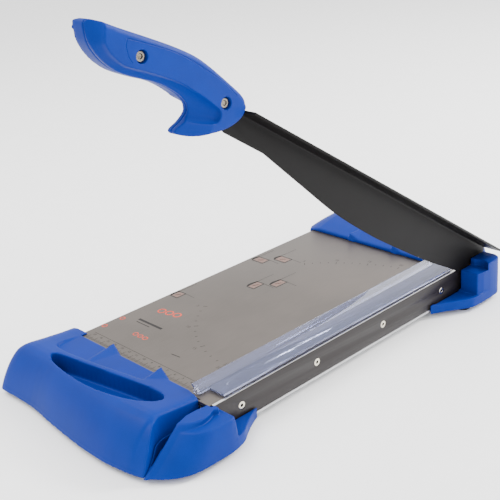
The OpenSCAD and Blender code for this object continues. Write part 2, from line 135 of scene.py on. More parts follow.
def smooth_line(points: Sequence[Pair], steps: int = 5) -> list[Pair]:
    """Draw a smooth open curve through points.

    Args:
        points: the points that the curve passes through.
        steps: how many pieces each stretch between two points is cut into.

    Returns:
        The points of the finer curve.
    """
    last, curve = len(points) - 1, []
    for i in range(last):
        a, b, c, d = (Vector(points[j]) for j in (max(i - 1, 0), i, i + 1, min(i + 2, last)))
        for k in range(steps):
            t = k / steps
            bend = 2 * a - 5 * b + 4 * c - d
            twist = 3 * b - a - 3 * c + d
            curve.append(tuple(0.5 * (2 * b + (c - a) * t + bend * t * t + twist * t**3)))
    return curve + [tuple(points[last])]


def height_on(curve: Sequence[Pair], x: float) -> float:
    """Read a curve that runs from left to right.

    Args:
        curve: points in order of their first number.
        x: where to read it.

    Returns:
        The second number there, or the end value past either end.
    """
    if x <= curve[0][0]:
        return curve[0][1]
    for (x0, y0), (x1, y1) in zip(curve, curve[1:]):
        if x <= x1:
            return y0 + (y1 - y0) * (x - x0) / max(x1 - x0, 1e-9)
    return curve[-1][1]


# ---------------------------------------------------------------- mesh tools


def only(piece: Piece) -> None:
    """Make one object the only selected and active one."""
    bpy.ops.object.select_all(action="DESELECT")
    piece.select_set(True)
    bpy.context.view_layer.objects.active = piece


def open_up() -> None:
    """Enter edit mode with everything selected."""
    bpy.ops.object.mode_set(mode="EDIT")
    bpy.ops.mesh.select_all(action="SELECT")


def close_up() -> None:
    """Turn every face outwards and leave edit mode."""
    bpy.ops.mesh.select_all(action="SELECT")
    bpy.ops.mesh.normals_make_consistent(inside=False)
    bpy.ops.object.mode_set(mode="OBJECT")


def trace(name: str, points: Sequence[Vector], face: bool = True) -> Piece:
    """Draw an outline by extruding one vertex from point to point.

    Args:
        name: the new object's name.
        points: the outline's corners in metres.
        face: whether the outline is closed and filled.

    Returns:
        The new object, at the world origin.
    """
    bpy.ops.object.select_all(action="DESELECT")
    bpy.ops.mesh.primitive_plane_add(size=MM)
    piece = bpy.context.object
    piece.name = name
    bpy.ops.object.mode_set(mode="EDIT")
    bpy.ops.mesh.merge(type="CENTER")
    bpy.ops.transform.translate(value=points[0])
    for start, end in zip(points, points[1:]):
        bpy.ops.mesh.extrude_vertices_move(TRANSFORM_OT_translate={"value": end - start})
    if face:
        bpy.ops.mesh.select_all(action="SELECT")
        bpy.ops.mesh.edge_face_add()
    bpy.ops.object.mode_set(mode="OBJECT")
    return piece


def prism(name: str, points: Sequence[Vector], travel: Vector) -> Piece:
    """Extrude an outline into a solid.

    Args:
        name: the new object's name.
        points: the outline's corners in metres.
        travel: the direction and length of the extrusion in metres.

    Returns:
        The closed solid, with its faces outwards.
    """
    piece = trace(name, points)
    open_up()
    bpy.ops.mesh.extrude_region_move(TRANSFORM_OT_translate={"value": travel})
    close_up()
    return piece


@dataclass(frozen=True)
class Station:
    """One ring of a loft: how far along X, and the section's scale there in Y and Z."""

    x: float
    wide: float
    high: float


def loft(name: str, section: Sequence[Vector], fixed: Vector, rings: Sequence[Station]) -> Piece:
    """Extrude a section along X, resized at each station about a fixed line.

    Args:
        name: the new object's name.
        section: the full-size section at X = 0, in metres.
        fixed: the point of the section that stays put as it is resized.
        rings: the stations from left to right, in metres along X.

    Returns:
        The closed solid, with its faces outwards.
    """
    first = rings[0]
    scale = Matrix.Diagonal((1.0, first.wide, first.high))
    points = [fixed + scale @ (p - fixed) + Vector((first.x, 0, 0)) for p in section]
    piece = trace(name, points)
    open_up()
    for before, ring in zip(rings, rings[1:]):
        step = Vector((ring.x - before.x, 0, 0))
        bpy.ops.mesh.extrude_region_move(TRANSFORM_OT_translate={"value": step})
        change = (1.0, ring.wide / before.wide, ring.high / before.high)
        bpy.ops.transform.resize(value=change, center_override=fixed + Vector((ring.x, 0, 0)))
    close_up()
    return piece


def cap_shell(bench: Bench, name: str, section: Sequence[Pair], fixed: Pair,
              rings: Sequence[Station]) -> Piece:
    """Loft an end cap from its section in Y and Z.

    Args:
        bench: the table's frame.
        name: the new object's name.
        section: the outline's corners in Y and Z.
        fixed: the corner that stays put as the section is resized.
        rings: the stations from left to right.

    Returns:
        The closed solid.
    """
    points = [bench.at(0, y, z) for y, z in (fixed, *section)]
    for point in points:
        point.x = 0
    return loft(name, points[1:], points[0], rings)


def plate(frame_of: Bench | Arm, outline: Sequence[Pair], low: float, high: float,
          name: str = "tool_plate") -> Piece:
    """Extrude an outline in a frame's first two axes along its third.

    Args:
        frame_of: the bench, for an upright prism, or the arm, for one across it.
        outline: the corners in the frame's first two axes.
        low: where the extrusion starts on the third axis.
        high: where it ends.
        name: the new object's name.

    Returns:
        The closed solid.
    """
    points = [frame_of.at(a, b, low) for a, b in outline]
    return prism(name, points, Vector(frame_of.axis) * ((high - low) * MM))


def block(frame_of: Bench | Arm, low: Triple, high: Triple) -> Piece:
    """Make a plain box between two corners of a frame, as a tool."""
    corners = [(low[0], low[1]), (high[0], low[1]), (high[0], high[1]), (low[0], high[1])]
    return plate(frame_of, corners, low[2], high[2])


def rod(name: str, start: Vector, end: Vector, radius: float, sides: int = 48) -> Piece:
    """Make a cylinder between two points, as a blank or a drill.

    Args:
        name: the new object's name.
        start: the centre of one end, in metres.
        end: the centre of the other end, in metres.
        radius: in millimetres.
        sides: how many flat sides make the round.

    Returns:
        The cylinder, with its place in its mesh.
    """
    bpy.ops.object.select_all(action="DESELECT")
    turn = (end - start).to_track_quat("Z", "Y").to_euler()
    bpy.ops.mesh.primitive_cylinder_add(
        vertices=sides, radius=radius * MM, depth=(end - start).length,
        location=(start + end) / 2, rotation=turn)
    piece = bpy.context.object
    piece.name = name
    bpy.ops.object.transform_apply(location=True, rotation=True, scale=True)
    return piece


def post(frame_of: Bench | Arm, spot: Pair, low: float, high: float, radius: float, sides: int = 48,
         name: str = "tool_post") -> Piece:
    """Make a rod along a frame's third axis, from low to high at a spot of the other two."""
    return rod(name, frame_of.at(*spot, low), frame_of.at(*spot, high), radius, sides)


def cross_rod(bench: Bench, spot: Pair, left: float, right: float, radius: float, sides: int = 48,
              name: str = "tool_cross_rod") -> Piece:
    """Make a rod across the bench, from left to right at a spot in Y and Z."""
    return rod(name, bench.at(left, *spot), bench.at(right, *spot), radius, sides)


def tube(name: str, points: Sequence[Vector], radius: float) -> Piece:
    """Sweep a round section along a line, as a ball-nosed cutter runs along it.

    Args:
        name: the new object's name.
        points: the line's points in metres.
        radius: of the section, in millimetres.

    Returns:
        The closed tube as a mesh.
    """
    piece = trace(name, points, face=False)
    only(piece)
    bpy.ops.object.convert(target="CURVE")
    piece = bpy.context.object
    piece.data.bevel_depth = radius * MM
    piece.data.bevel_resolution = 6
    piece.data.use_fill_caps = True
    bpy.ops.object.convert(target="MESH")
    piece = bpy.context.object
    open_up()
    bpy.ops.mesh.remove_doubles(threshold=0.00001)
    close_up()
    return piece


def modify(piece: Piece, kind: str, **settings: object) -> None:
    """Add a modifier with its settings and apply it."""
    only(piece)
    modifier = piece.modifiers.new(kind.lower(), kind)
    for key, value in settings.items():
        setattr(modifier, key, value)
    bpy.ops.object.modifier_apply(modifier=modifier.name)


def join(target: Piece, tool: Piece, how: Join) -> None:
    """Cut or fuse target with a tool, which is used up."""
    modify(target, "BOOLEAN", operation=how.value, object=tool, solver="EXACT")
    bpy.data.objects.remove(tool, do_unlink=True)


def soften(piece: Piece, voxel: float, passes: int) -> None:
    """Round every edge a little, as a mould does.

    Args:
        piece: a closed solid.
        voxel: size of the even mesh that it is rebuilt with, in millimetres.
        passes: how many times it is smoothed.
    """
    modify(piece, "REMESH", mode="VOXEL", voxel_size=voxel * MM)
    modify(piece, "SMOOTH", factor=0.5, iterations=passes)
    only(piece)
    bpy.ops.object.shade_smooth()


def crisp(piece: Piece, width: float, segments: int = 2) -> None:
    """Bevel the sharp edges of a metal piece and shade the rest smooth.

    Args:
        piece: a closed solid.
        width: of the bevel, in millimetres.
        segments: how many strips make the bevel.
    """
    modify(piece, "BEVEL", width=width * MM, segments=segments, limit_method="ANGLE",
           angle_limit=math.radians(35), use_clamp_overlap=True)
    only(piece)
    bpy.ops.object.shade_smooth_by_angle(angle=math.radians(32))


def pick_faces(piece: Piece, wanted: Callable[[Vector, Vector], bool], slot: int) -> None:
    """Give the faces that a test picks another material slot.

    Args:
        piece: a mesh object with that slot.
        wanted: says from a face's centre and normal whether it is picked.
        slot: the material slot's number.
    """
    for polygon in piece.data.polygons:
        if wanted(polygon.center, polygon.normal):
            polygon.material_index = slot


def merge(name: str, parts: Sequence[Piece]) -> Piece:
    """Join separate objects into one piece without fusing them.

    Args:
        name: the joined object's name.
        parts: the objects, which are used up.

    Returns:
        The joined object.
    """
    only(parts[0])
    for part in parts:
        part.select_set(True)
    bpy.ops.object.join()
    parts[0].name = name
    return parts[0]


# ---------------------------------------------------------------- finishes


def linear(code: str) -> tuple[float, float, float, float]:
    """Turn an sRGB hex colour into linear red, green, blue and alpha."""
    parts = [int(code[i:i + 2], 16) / 255 for i in (1, 3, 5)]
    return (*(p / 12.92 if p <= 0.04045 else ((p + 0.055) / 1.055) ** 2.4 for p in parts), 1.0)


def add_node(tree: bpy.types.NodeTree, kind: str, settings: dict[str, object] | None = None,
             values: dict[str, object] | None = None,
             links: dict[str, bpy.types.NodeSocket] | None = None) -> bpy.types.Node:
    """Add a shader node with its settings, socket values and links.

    Args:
        tree: the material's node tree.
        kind: the node's type name without its ShaderNode prefix.
        settings: the node's own properties.
        values: input sockets by name and what each is set to.
        links: input sockets by name and the output that feeds each.

    Returns:
        The new node.
    """
    node = tree.nodes.new("ShaderNode" + kind)
    for key, value in (settings or {}).items():
        setattr(node, key, value)
    for key, value in (values or {}).items():
        node.inputs[key].default_value = value
    for key, output in (links or {}).items():
        tree.links.new(output, node.inputs[key])
    return node


@dataclass(frozen=True)
class Finish:
    """A surface finish. Grain and mottle sizes are in millimetres.

    The grain is the fine relief that scatters the highlight; the mottle is the slow change of tone
    and gloss that handling and moulding leave.
    """

    name: str
    light: str
    dark: str
    roughness: float
    metallic: float = 0.0
    specular: float = 0.5
    grain: float = 0.5
    relief: float = 0.05
    stretch: Triple = (1.0, 1.0, 1.0)
    mottle: float = 30.0
    gloss_change: float = 0.05

    def build(self) -> bpy.types.Material:
        """Make the material.

        Returns:
            The node material, on object coordinates.
        """
        material = bpy.data.materials.new(self.name)
        material.use_nodes = True
        tree = material.node_tree
        shader = tree.nodes["Principled BSDF"]
        shader.inputs["Metallic"].default_value = self.metallic
        if not self.metallic:
            shader.inputs["Specular IOR Level"].default_value = self.specular
        place = add_node(tree, "TexCoord").outputs["Object"]
        slow = add_node(tree, "TexNoise", values={"Scale": 1 / (self.mottle * MM), "Detail": 4.0},
                        links={"Vector": place}).outputs["Fac"]
        lay = add_node(tree, "Mapping", values={"Scale": self.stretch},
                       links={"Vector": place}).outputs["Vector"]
        fine = add_node(tree, "TexNoise", values={"Scale": 1 / (self.grain * MM), "Detail": 3.0},
                        links={"Vector": lay}).outputs["Fac"]
        both = add_node(tree, "Math", {"operation": "ADD"},
                        links={0: slow, 1: fine}).outputs[0]
        half = add_node(tree, "Math", {"operation": "MULTIPLY"}, {1: 0.5}, {0: both}).outputs[0]
        ramp = add_node(tree, "ValToRGB", links={"Fac": half})
        ramp.color_ramp.elements[0].position = 0.36
        ramp.color_ramp.elements[1].position = 0.64
        ramp.color_ramp.elements[0].color = linear(self.dark)
        ramp.color_ramp.elements[1].color = linear(self.light)
        tree.links.new(ramp.outputs["Color"], shader.inputs["Base Color"])
        gloss = add_node(tree, "MapRange", values={
            "From Min": 0.3, "From Max": 0.7, "To Min": self.roughness - self.gloss_change,
            "To Max": self.roughness + self.gloss_change}, links={"Value": half}).outputs["Result"]
        tree.links.new(gloss, shader.inputs["Roughness"])
        bump = add_node(tree, "Bump", values={"Strength": 0.35, "Distance": self.relief * MM},
                        links={"Height": fine}).outputs["Normal"]
        tree.links.new(bump, shader.inputs["Normal"])
        return material


# Spark-eroded ABS: the mould's matt grain spreads the highlight and lightens what faces the lamps
SPARKED_ABS = Finish("blue_spark_textured_abs", "#052880", "#042474", 0.48, specular=0.1,
                     grain=0.55, relief=0.07, mottle=26.0)
# Brushed stainless sheet: lines run along the table and draw the reflection out across them
BRUSHED_STEEL = Finish("brushed_stainless_sheet", "#706964", "#645E59", 0.42, metallic=0.85,
                       grain=0.4, relief=0.012, stretch=(1.0, 0.02, 1.0), mottle=60.0)
# Blackened bar steel: a brown-black oxide, satin, with faint drawing lines along it
BLACKENED_STEEL = Finish("blackened_bar_steel", "#241F1F", "#1D1919", 0.42, metallic=0.3,
                         grain=0.8, relief=0.01, stretch=(1.0, 0.03, 1.0), mottle=40.0)
# Ground steel: the bright land left by the grinding wheel
GROUND_STEEL = Finish("ground_tool_steel", "#E9E7E4", "#D9D6D2", 0.22, metallic=1.0,
                      grain=0.3, relief=0.004, stretch=(1.0, 4.0, 1.0))
# Black powder-coated blade: soft orange peel, satin
BLACK_COAT = Finish("black_coated_blade", "#100E0E", "#0C0B0B", 0.5, specular=0.12,
                    grain=0.9, relief=0.02, mottle=35.0)
# Mill-finish aluminium extrusion
MILL_ALUMINIUM = Finish("mill_finish_aluminium", "#D2D2D4", "#BDBDC0", 0.36, metallic=1.0,
                        grain=0.5, relief=0.01, stretch=(1.0, 0.04, 1.0))
# Bright nickel plate on the socket screws
NICKEL = Finish("bright_nickel_plate", "#F0E9D8", "#DDD5C2", 0.2, metallic=1.0, grain=0.3, relief=0.004)
# Plain steel of the handle's socket screws, its colour painted darker as shade for their deep seats
SEAT_SHADED_SCREW_STEEL = Finish("screw_steel_with_painted_seat_shade", "#8F887D", "#6A645B", 0.27, metallic=1.0, grain=0.3, relief=0.01,
                     mottle=4.0, gloss_change=0.08)
# Zinc plate, a little blue and blotchy
ZINC = Finish("blue_zinc_plate", "#C7CBD0", "#A9AEB6", 0.34, metallic=1.0, grain=0.4, relief=0.01,
              mottle=6.0, gloss_change=0.1)
# Oil-filled sintered bronze
BRONZE = Finish("sintered_bronze", "#B08A4E", "#8E6B38", 0.5, metallic=1.0, grain=0.25, relief=0.02)
# Moulded nitrile rubber
RUBBER = Finish("moulded_rubber", "#141313", "#0F0E0E", 0.75, specular=0.3, grain=0.6, relief=0.05)
# Screen-print ink, dry and flat
# The black ink also paints shade into the hexagon sockets of the bar's nickel screws
BLACK_INK_AND_SOCKET_SHADE = Finish("black_screen_ink_and_socket_shade", "#1F1B1A", "#181514", 0.6, specular=0.3, grain=0.3, relief=0.002)
GREY_INK = Finish("grey_screen_ink", "#3F3936", "#383230", 0.6, specular=0.3, grain=0.3, relief=0.002)
RED_INK = Finish("red_screen_ink", "#CE4A35", "#BD3F2C", 0.55, specular=0.3, grain=0.3, relief=0.002)
PALE_RED_INK = Finish("pale_red_screen_ink", "#735C54", "#6A544D", 0.55, specular=0.3, grain=0.3,
                      relief=0.002)
# Pale paper sweep for the studio floor
PAPER = Finish("white_paper_sweep", "#FFFFFF", "#FDFDFD", 0.9, specular=0.1, grain=2.0, relief=0.01)


@dataclass(frozen=True)
class ClearPlastic:
    """Extruded clear polycarbonate with a faint blue cast and draw lines along it."""

    name: str = "clear_polycarbonate"
    tint: str = "#C6CEF4"
    roughness: float = 0.015
    index: float = 1.5
    haze: float = 0.012

    def build(self) -> bpy.types.Material:
        """Make the material.

        Returns:
            The node material, clear and glossy.
        """
        material = bpy.data.materials.new(self.name)
        material.use_nodes = True
        tree = material.node_tree
        shader = tree.nodes["Principled BSDF"]
        shader.inputs["Base Color"].default_value = linear(self.tint)
        shader.inputs["IOR"].default_value = self.index
        shader.inputs["Transmission Weight"].default_value = 0.93
        place = add_node(tree, "TexCoord").outputs["Object"]
        lay = add_node(tree, "Mapping", values={"Scale": (1.0, 0.01, 1.0)},
                       links={"Vector": place}).outputs["Vector"]
        lines = add_node(tree, "TexNoise", values={"Scale": 1 / (1.2 * MM), "Detail": 2.0},
                         links={"Vector": lay}).outputs["Fac"]
        gloss = add_node(tree, "MapRange", values={
            "To Min": self.roughness, "To Max": self.roughness + self.haze},
            links={"Value": lines}).outputs["Result"]
        tree.links.new(gloss, shader.inputs["Roughness"])
        return material


class Wardrobe:
    """Builds each finish once and hands out its material."""

    def __init__(self) -> None:
        """Start with no material built."""
        self.built: dict[str, bpy.types.Material] = {}

    def wear(self, piece: Piece, *finishes: Finish | ClearPlastic) -> None:
        """Dress a piece in one or more finishes, one material slot each."""
        piece.data.materials.clear()
        for finish in finishes:
            if finish.name not in self.built:
                self.built[finish.name] = finish.build()
            piece.data.materials.append(self.built[finish.name])


def place(piece: Piece, body: Body, slot: str, *nodes: str) -> None:
    """Tie a finished piece to its body and hide the nodes that it stands for."""
    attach(piece, body.value)
    if nodes:
        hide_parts(*nodes)
    log.info("%s: %d faces on %s", piece.name, len(piece.data.polygons), body.value)


# ---------------------------------------------------------------- end caps


@dataclass
class Moulding:
    """A blue moulding of the base. All four are dressed alike."""

    bench: Bench
    node: str = ""
    depth: float = RIM

    def dress(self, body: Piece, wardrobe: Wardrobe) -> None:
        """Give the moulding its finish and its place in the model."""
        wardrobe.wear(body, SPARKED_ABS)
        place(body, Body.BASE, "blue_plastic", self.node)


# Left shoulders of the two caps, in X and height
LEFT_SHOULDER = [(-21.9, -14.0), (-21.0, -6.0), (-18.8, 0.0), (-15.0, 4.0), (-9.0, 6.0), (-2.0, 6.5)]
REAR_SHOULDER = [(-19.7, -20.0), (-18.4, -12.0), (-15.4, -6.0), (-11.0, -2.0), (-5.0, 1.8), (2.0, 4.6),
                 (10.0, 6.5)]


@dataclass
class FrontCap(Moulding):
    """The front moulding with the pen tray and the saw-tooth paper stops."""

    node: str = "front_cap"
    left: float = -21.9
    right: float = 178.0
    face: float = 166.5
    rear: float = 0.5
    top: float = 6.5
    wall: float = 2.6
    corner_x: float = 152.5
    corner_y: float = -10.0
    lip_y: float = -6.5
    recess_floor: float = 1.9
    tray_floor: float = -12.0
    foot: Pair = (-4.0, -52.0)

    def section(self, inset: float) -> list[Pair]:
        """Give the cap's outline in Y and Z, drawn in by inset."""
        nose = smooth_line([(-54, 6.4), (-61, 4.5), (-68, -1.5), (-74, -9.5), (-79, -19), (-83.2, -29.5)])
        flat = [(-12, 2.2), (-32, 4.2), (-48, 6.2)]
        back = self.rear - 3.4 * inset
        rim = [(back, self.depth - 4 * inset), (back, 1.4 - inset)]
        return rim + [(y, z - inset) for y, z in flat] + [(y + inset, z - inset) for y, z in nose] + (
            [(-83.2 + inset, self.depth - 4 * inset)] if inset else [])

    def rings(self, inset: float) -> list[Station]:
        """Give the stations along X: the plan's bowed front and both rounded shoulders."""
        bow = smooth_line([(-21.9, -69), (-21.2, -74), (-16, -76.3), (4.5, -75.4), (30, -75.6), (60, -79),
                           (89, -81.6), (113, -83.1), (138, -83), (153, -81.4), (166.5, -79.3), (178, -76)])
        crown = smooth_line(LEFT_SHOULDER) + [(156, 6.5)] + smooth_line(
            [(160, 6.4), (164, 5.9), (165.8, 4.9), (166.5, 3.8)]) + [(178, 3.8)]
        edge = [x for x, _ in crown] + list(range(10, 152, 8))
        inside = sorted({round(x, 2) for x in edge if self.left + inset < x < self.right - inset})
        full = self.top - self.depth
        return [Station((self.bench.left + x * MM), (height_on(bow, x) - self.rear) / (-83.2 - self.rear),
                        (height_on(crown, x) - self.depth) / full)
                for x in [self.left + inset, *inside, self.right - inset]]

    def shell(self, inset: float) -> Piece:
        """Loft the cap's envelope, drawn in by inset."""
        return cap_shell(self.bench, "front_cap_moulding", self.section(inset), (self.rear, self.depth),
                         self.rings(inset))

    def tray(self, low: float, grow: float) -> Piece:
        """Extrude the crescent of the pen tray up from a height, grown about its middle."""
        rear = smooth_line([(22, -46), (26, -41.5), (40, -38.5), (72, -33), (104, -27.8), (128, -24.3)])
        front = smooth_line([(128, -24.3), (142, -24.8), (149, -29.5), (146, -38), (131.5, -48.3),
                             (104, -55), (70, -56), (40, -53), (27, -49.5), (22, -46)])
        outline = [(86 + (x - 86) * grow, -41 + (y + 41) * grow) for x, y in rear[:-1] + front[:-1]]
        return plate(self.bench, outline, low, low + 20)

    def tooth(self, x: float) -> Piece:
        """Make one saw tooth: its ridge runs forward from an apex over the table's edge."""
        apex, foot = 3.8, 1.2
        face = [(x, 1, 0.05), (x, 1, apex), (x + 21, self.lip_y, foot), (x + 21, self.lip_y, 0.05)]
        return prism("tool_tooth", [self.bench.at(*p) for p in face],
                     self.bench.at(5.5, -30, -1.4) - self.bench.at(0, 0, 0))

    def build(self) -> Piece:
        """Shape the cap.

        Returns:
            The finished moulding.
        """
        cap = self.shell(0)
        hollow = self.shell(self.wall)
        join(hollow, self.tray(self.tray_floor - self.wall, 1.09), Join.CUT)
        join(hollow, post(self.bench, self.foot, SEAT, 12, 9.5), Join.CUT)
        join(hollow, block(self.bench, (5, -37, self.recess_floor - self.wall), (115, 3, 20)), Join.CUT)
        join(hollow, block(self.bench, (self.face - self.wall, -90, -60), (190, 3, 20)), Join.CUT)
        join(cap, hollow, Join.CUT)
        wall = smooth_line([(self.face, -46), (167, -50), (169.5, -55.5), (174, -62.5), (177.2, -70),
                            (178, -77)])
        outside = [(self.face, 3), *wall, (184, -77), (184, 3)]
        join(cap, plate(self.bench, outside, UNDER, 20), Join.CUT)
        corner = smooth_line([(7, -24), (8, -30), (12, -33.6), (18, -34.6), (30, -34.4)], 4)
        recess = [(7, 3), *corner, (52, -31.5), (112, -21), (116, 3)]
        join(cap, plate(self.bench, recess, self.recess_floor, self.recess_floor + 9), Join.CUT)
        join(cap, block(self.bench, (7, self.lip_y, -1), (self.corner_x, 3, 9)), Join.CUT)
        for x in (45, 109):
            join(cap, self.tooth(x), Join.FUSE)
        corner = [(self.corner_x, self.lip_y), (self.face + 1, self.corner_y), (self.face + 1, 3),
                  (self.corner_x, 3)]
        join(cap, plate(self.bench, corner, UNDER, 10), Join.CUT)
        # The table's front edge lies under the cap
        join(cap, block(self.bench, (-0.4, -8.5, UNDER), (170, 3, -0.02)), Join.CUT)
        join(cap, self.tray(self.tray_floor, 1.0), Join.CUT)
        join(cap, post(self.bench, self.foot, UNDER, SEAT, 7.6), Join.CUT)
        soften(cap, 0.85, 4)
        return cap


@dataclass
class SideBlock(Moulding):
    """The domed block right of the front cap, with the arm rest, the groove, the slot and the wing."""

    node: str = "front_side_block"
    face: float = 166.9
    rest_top: float = 0.8
    groove_floor: float = -14.0
    wing_top: float = -20.5
    middle: Pair = (178.0, -5.0)
    foot: Pair = (186.0, -38.0)

    def dome(self, outline: Sequence[Pair], levels: Sequence[Triple]) -> Piece:
        """Extrude an outline upwards, drawing it in at each level about the block's middle.

        Args:
            outline: the lowest outline in X and Y.
            levels: height and the scales in X and Y, from the bottom up.

        Returns:
            The closed dome.
        """
        piece = trace("side_block_moulding", [self.bench.at(x, y, levels[0][0]) for x, y in outline])
        open_up()
        for (z0, wide0, deep0), (z1, wide1, deep1) in zip(levels, levels[1:]):
            bpy.ops.mesh.extrude_region_move(TRANSFORM_OT_translate={"value": (0, 0, (z1 - z0) * MM)})
            bpy.ops.transform.resize(value=(wide1 / wide0, deep1 / deep0, 1),
                                     center_override=self.bench.at(*self.middle, z1))
        close_up()
        return piece

    def build(self) -> Piece:
        """Shape the block.

        Returns:
            The finished moulding.
        """
        wall = smooth_line([(180, -76.6), (183, -72.8), (190.6, -67), (198.6, -57), (203, -45), (204, -30),
                            (204, -13.4), (203, -5.4)])
        levels = [(-29.5, 1, 1), (-22.5, 0.995, 0.88), (-15, 0.975, 0.76), (-9, 0.945, 0.665),
                  (-5.5, 0.92, 0.61), (-4.2, 0.9, 0.59), (-3.6, 0.87, 0.565)]
        body = self.dome([(self.face, -3.4), (self.face, -76.6), *wall, (202, -3.4)], levels)
        step = smooth_line([(181, -76), (187.5, -64), (190.5, -46), (189, -30), (186.8, -20),
                            (189.2, -14.5), (187.5, -10.7)])
        rise = [(-29.5, 1, 1), (-22.5, 1, 0.89), (-15, 1, 0.77), (-8.2, 1, 0.66), (-4, 1, 0.59),
                (-1, 1, 0.54), (0.6, 0.995, 0.51), (self.rest_top, 0.975, 0.49)]
        raised = self.dome([(self.face, -10.7), (self.face, -76.6), *step], rise)
        join(body, raised, Join.FUSE)
        join(body, block(self.bench, (160, -11.2, self.groove_floor), (178.5, 3, 9)), Join.CUT)
        sweep = smooth_line([(203, -5.4), (200, 4), (193.3, 14), (187, 25), (183.3, 33)])
        wing = [(182.9, 33), (182.9, -9), (203, -9), *sweep]
        join(body, plate(self.bench, wing, self.depth, self.wing_top), Join.FUSE)
        join(body, block(self.bench, (160, -10.7, UNDER), (182.7, 3, 9)), Join.CUT)
        # The flared wall of the front cap, with a fine gap
        flare = smooth_line([(166.9, -46), (167.4, -50), (169.9, -55.3), (174.4, -62.3), (177.6, -69.9),
                             (178.4, -77.5)])
        join(body, plate(self.bench, [(160, -46), *flare, (160, -77.5)], UNDER, 20), Join.CUT)
        groove = smooth_line([(178.2, -8), (177.6, -14), (176.4, -22), (176.6, -31), (178.8, -39),
                              (179.4, -50), (179.2, -60), (178.9, -70)])
        join(body, plate(self.bench, [(160, -8), *groove, (160, -70)], self.groove_floor, 26), Join.CUT)
        slot = smooth_line([(168.3, -36), (168.3, -47), (171.2, -55), (175.4, -62), (178, -69), (178.8, -69),
                            (178.6, -58), (178.2, -46), (176.6, -37)])
        join(body, plate(self.bench, slot, -27, 13), Join.CUT)
        hollow = [(180.5, -14), (180.5, -40), (186, -43), (193, -37), (199, -26), (200, -14)]
        join(body, plate(self.bench, hollow, UNDER, -14), Join.CUT)
        join(body, post(self.bench, self.foot, SEAT, -12, 9), Join.FUSE)
        soften(body, 0.6, 2)
        return body


@dataclass
class RearCap(Moulding):
    """The rear moulding: a humped top behind a low riser, with two saw-tooth stops."""

    node: str = "rear_cap"
    left: float = -19.7
    right: float = 178.0
    front: float = 294.5
    wall: float = 2.6
    foot: Pair = (-4.0, 348.0)

    def section(self, inset: float) -> list[Pair]:
        """Give the cap's outline in Y, from its front, and Z, drawn in by inset."""
        hump = smooth_line([(1.4, 3.9), (6, 4.9), (18, 7.4), (31, 9.3), (47, 10.3), (61, 9.2), (69.5, 4.5),
                            (74.5, -5), (77.6, -17), (79.2, -29.5)])
        if not inset:
            return [(0, self.depth), (0, 3.2), *hump]
        drawn = [(y - inset, z - inset) for y, z in hump if y > 12 + inset]
        return [(12, self.depth - 10), (12, 3), *drawn, (79.2 - inset, self.depth - 10)]

    def rings(self, inset: float) -> list[Station]:
        """Give the stations along X: the plan's rounded corners and both shoulders."""
        bow = smooth_line([(-19.7, 340), (-18.5, 356), (-12, 366.5), (10, 371.4), (80, 373), (140, 373),
                           (166, 369.4), (174, 362), (178, 344)])
        crown = smooth_line([(x, (z + 29.5) / 36) for x, z in REAR_SHOULDER]) + [(158, 1.0)] + smooth_line(
            [(162, 0.995), (168, 0.97), (173.5, 0.9), (176.6, 0.78), (178, 0.55)])
        edge = [x for x, _ in crown] + list(range(12, 156, 12))
        inside = sorted({round(x, 2) for x in edge if self.left + inset < x < self.right - inset})
        return [Station(self.bench.left + x * MM, (height_on(bow, x) - self.front) / 79.2,
                        height_on(crown, x)) for x in [self.left + inset, *inside, self.right - inset]]

    def shell(self, inset: float) -> Piece:
        """Loft the cap's envelope, drawn in by inset."""
        section = [(self.front + y, z) for y, z in self.section(inset)]
        return cap_shell(self.bench, "rear_cap_moulding", section, (self.front, self.depth),
                         self.rings(inset))

    def tooth(self, x: float) -> Piece:
        """Make one saw tooth that leans out over the table's edge."""
        face = [(x, self.front - 1.6, 0.05), (x, self.front + 1.2, 7.6), (x + 14, self.front + 0.4, 3.4),
                (x + 12, self.front, 0.05)]
        return prism("tool_tooth", [self.bench.at(*p) for p in face],
                     self.bench.at(3, 26, 1.2) - self.bench.at(0, 0, 0))

    def build(self) -> Piece:
        """Shape the cap.

        Returns:
            The finished moulding.
        """
        cap = self.shell(0)
        hollow = self.shell(self.wall)
        join(hollow, post(self.bench, self.foot, SEAT, 20, 9.5), Join.CUT)
        join(hollow, block(self.bench, (-25, 290, -60), (-6, 318, 20)), Join.CUT)
        join(cap, hollow, Join.CUT)
        for x in (52, 107):
            join(cap, self.tooth(x), Join.FUSE)
        round_off = smooth_line([(-1.5, 293), (-4, 297), (-9.5, 304), (-15.5, 314), (-19.2, 328), (-20, 345)])
        join(cap, plate(self.bench, [(-30, 293), *round_off, (-30, 345)], UNDER, 20), Join.CUT)
        join(cap, block(self.bench, (-0.4, 285, UNDER), (190, 303.3, -0.02)), Join.CUT)
        # Steps down round the arm's neck at the right end
        for low, high in (((166.5, 285), (306, 20)), ((159.8, 290), (343, -1.2)), ((170, 290), (343, 4.5))):
            join(cap, block(self.bench, (*low, UNDER), (190, *high)), Join.CUT)
        join(cap, post(self.bench, self.foot, UNDER, SEAT, 7.6), Join.CUT)
        soften(cap, 0.9, 4)
        return cap


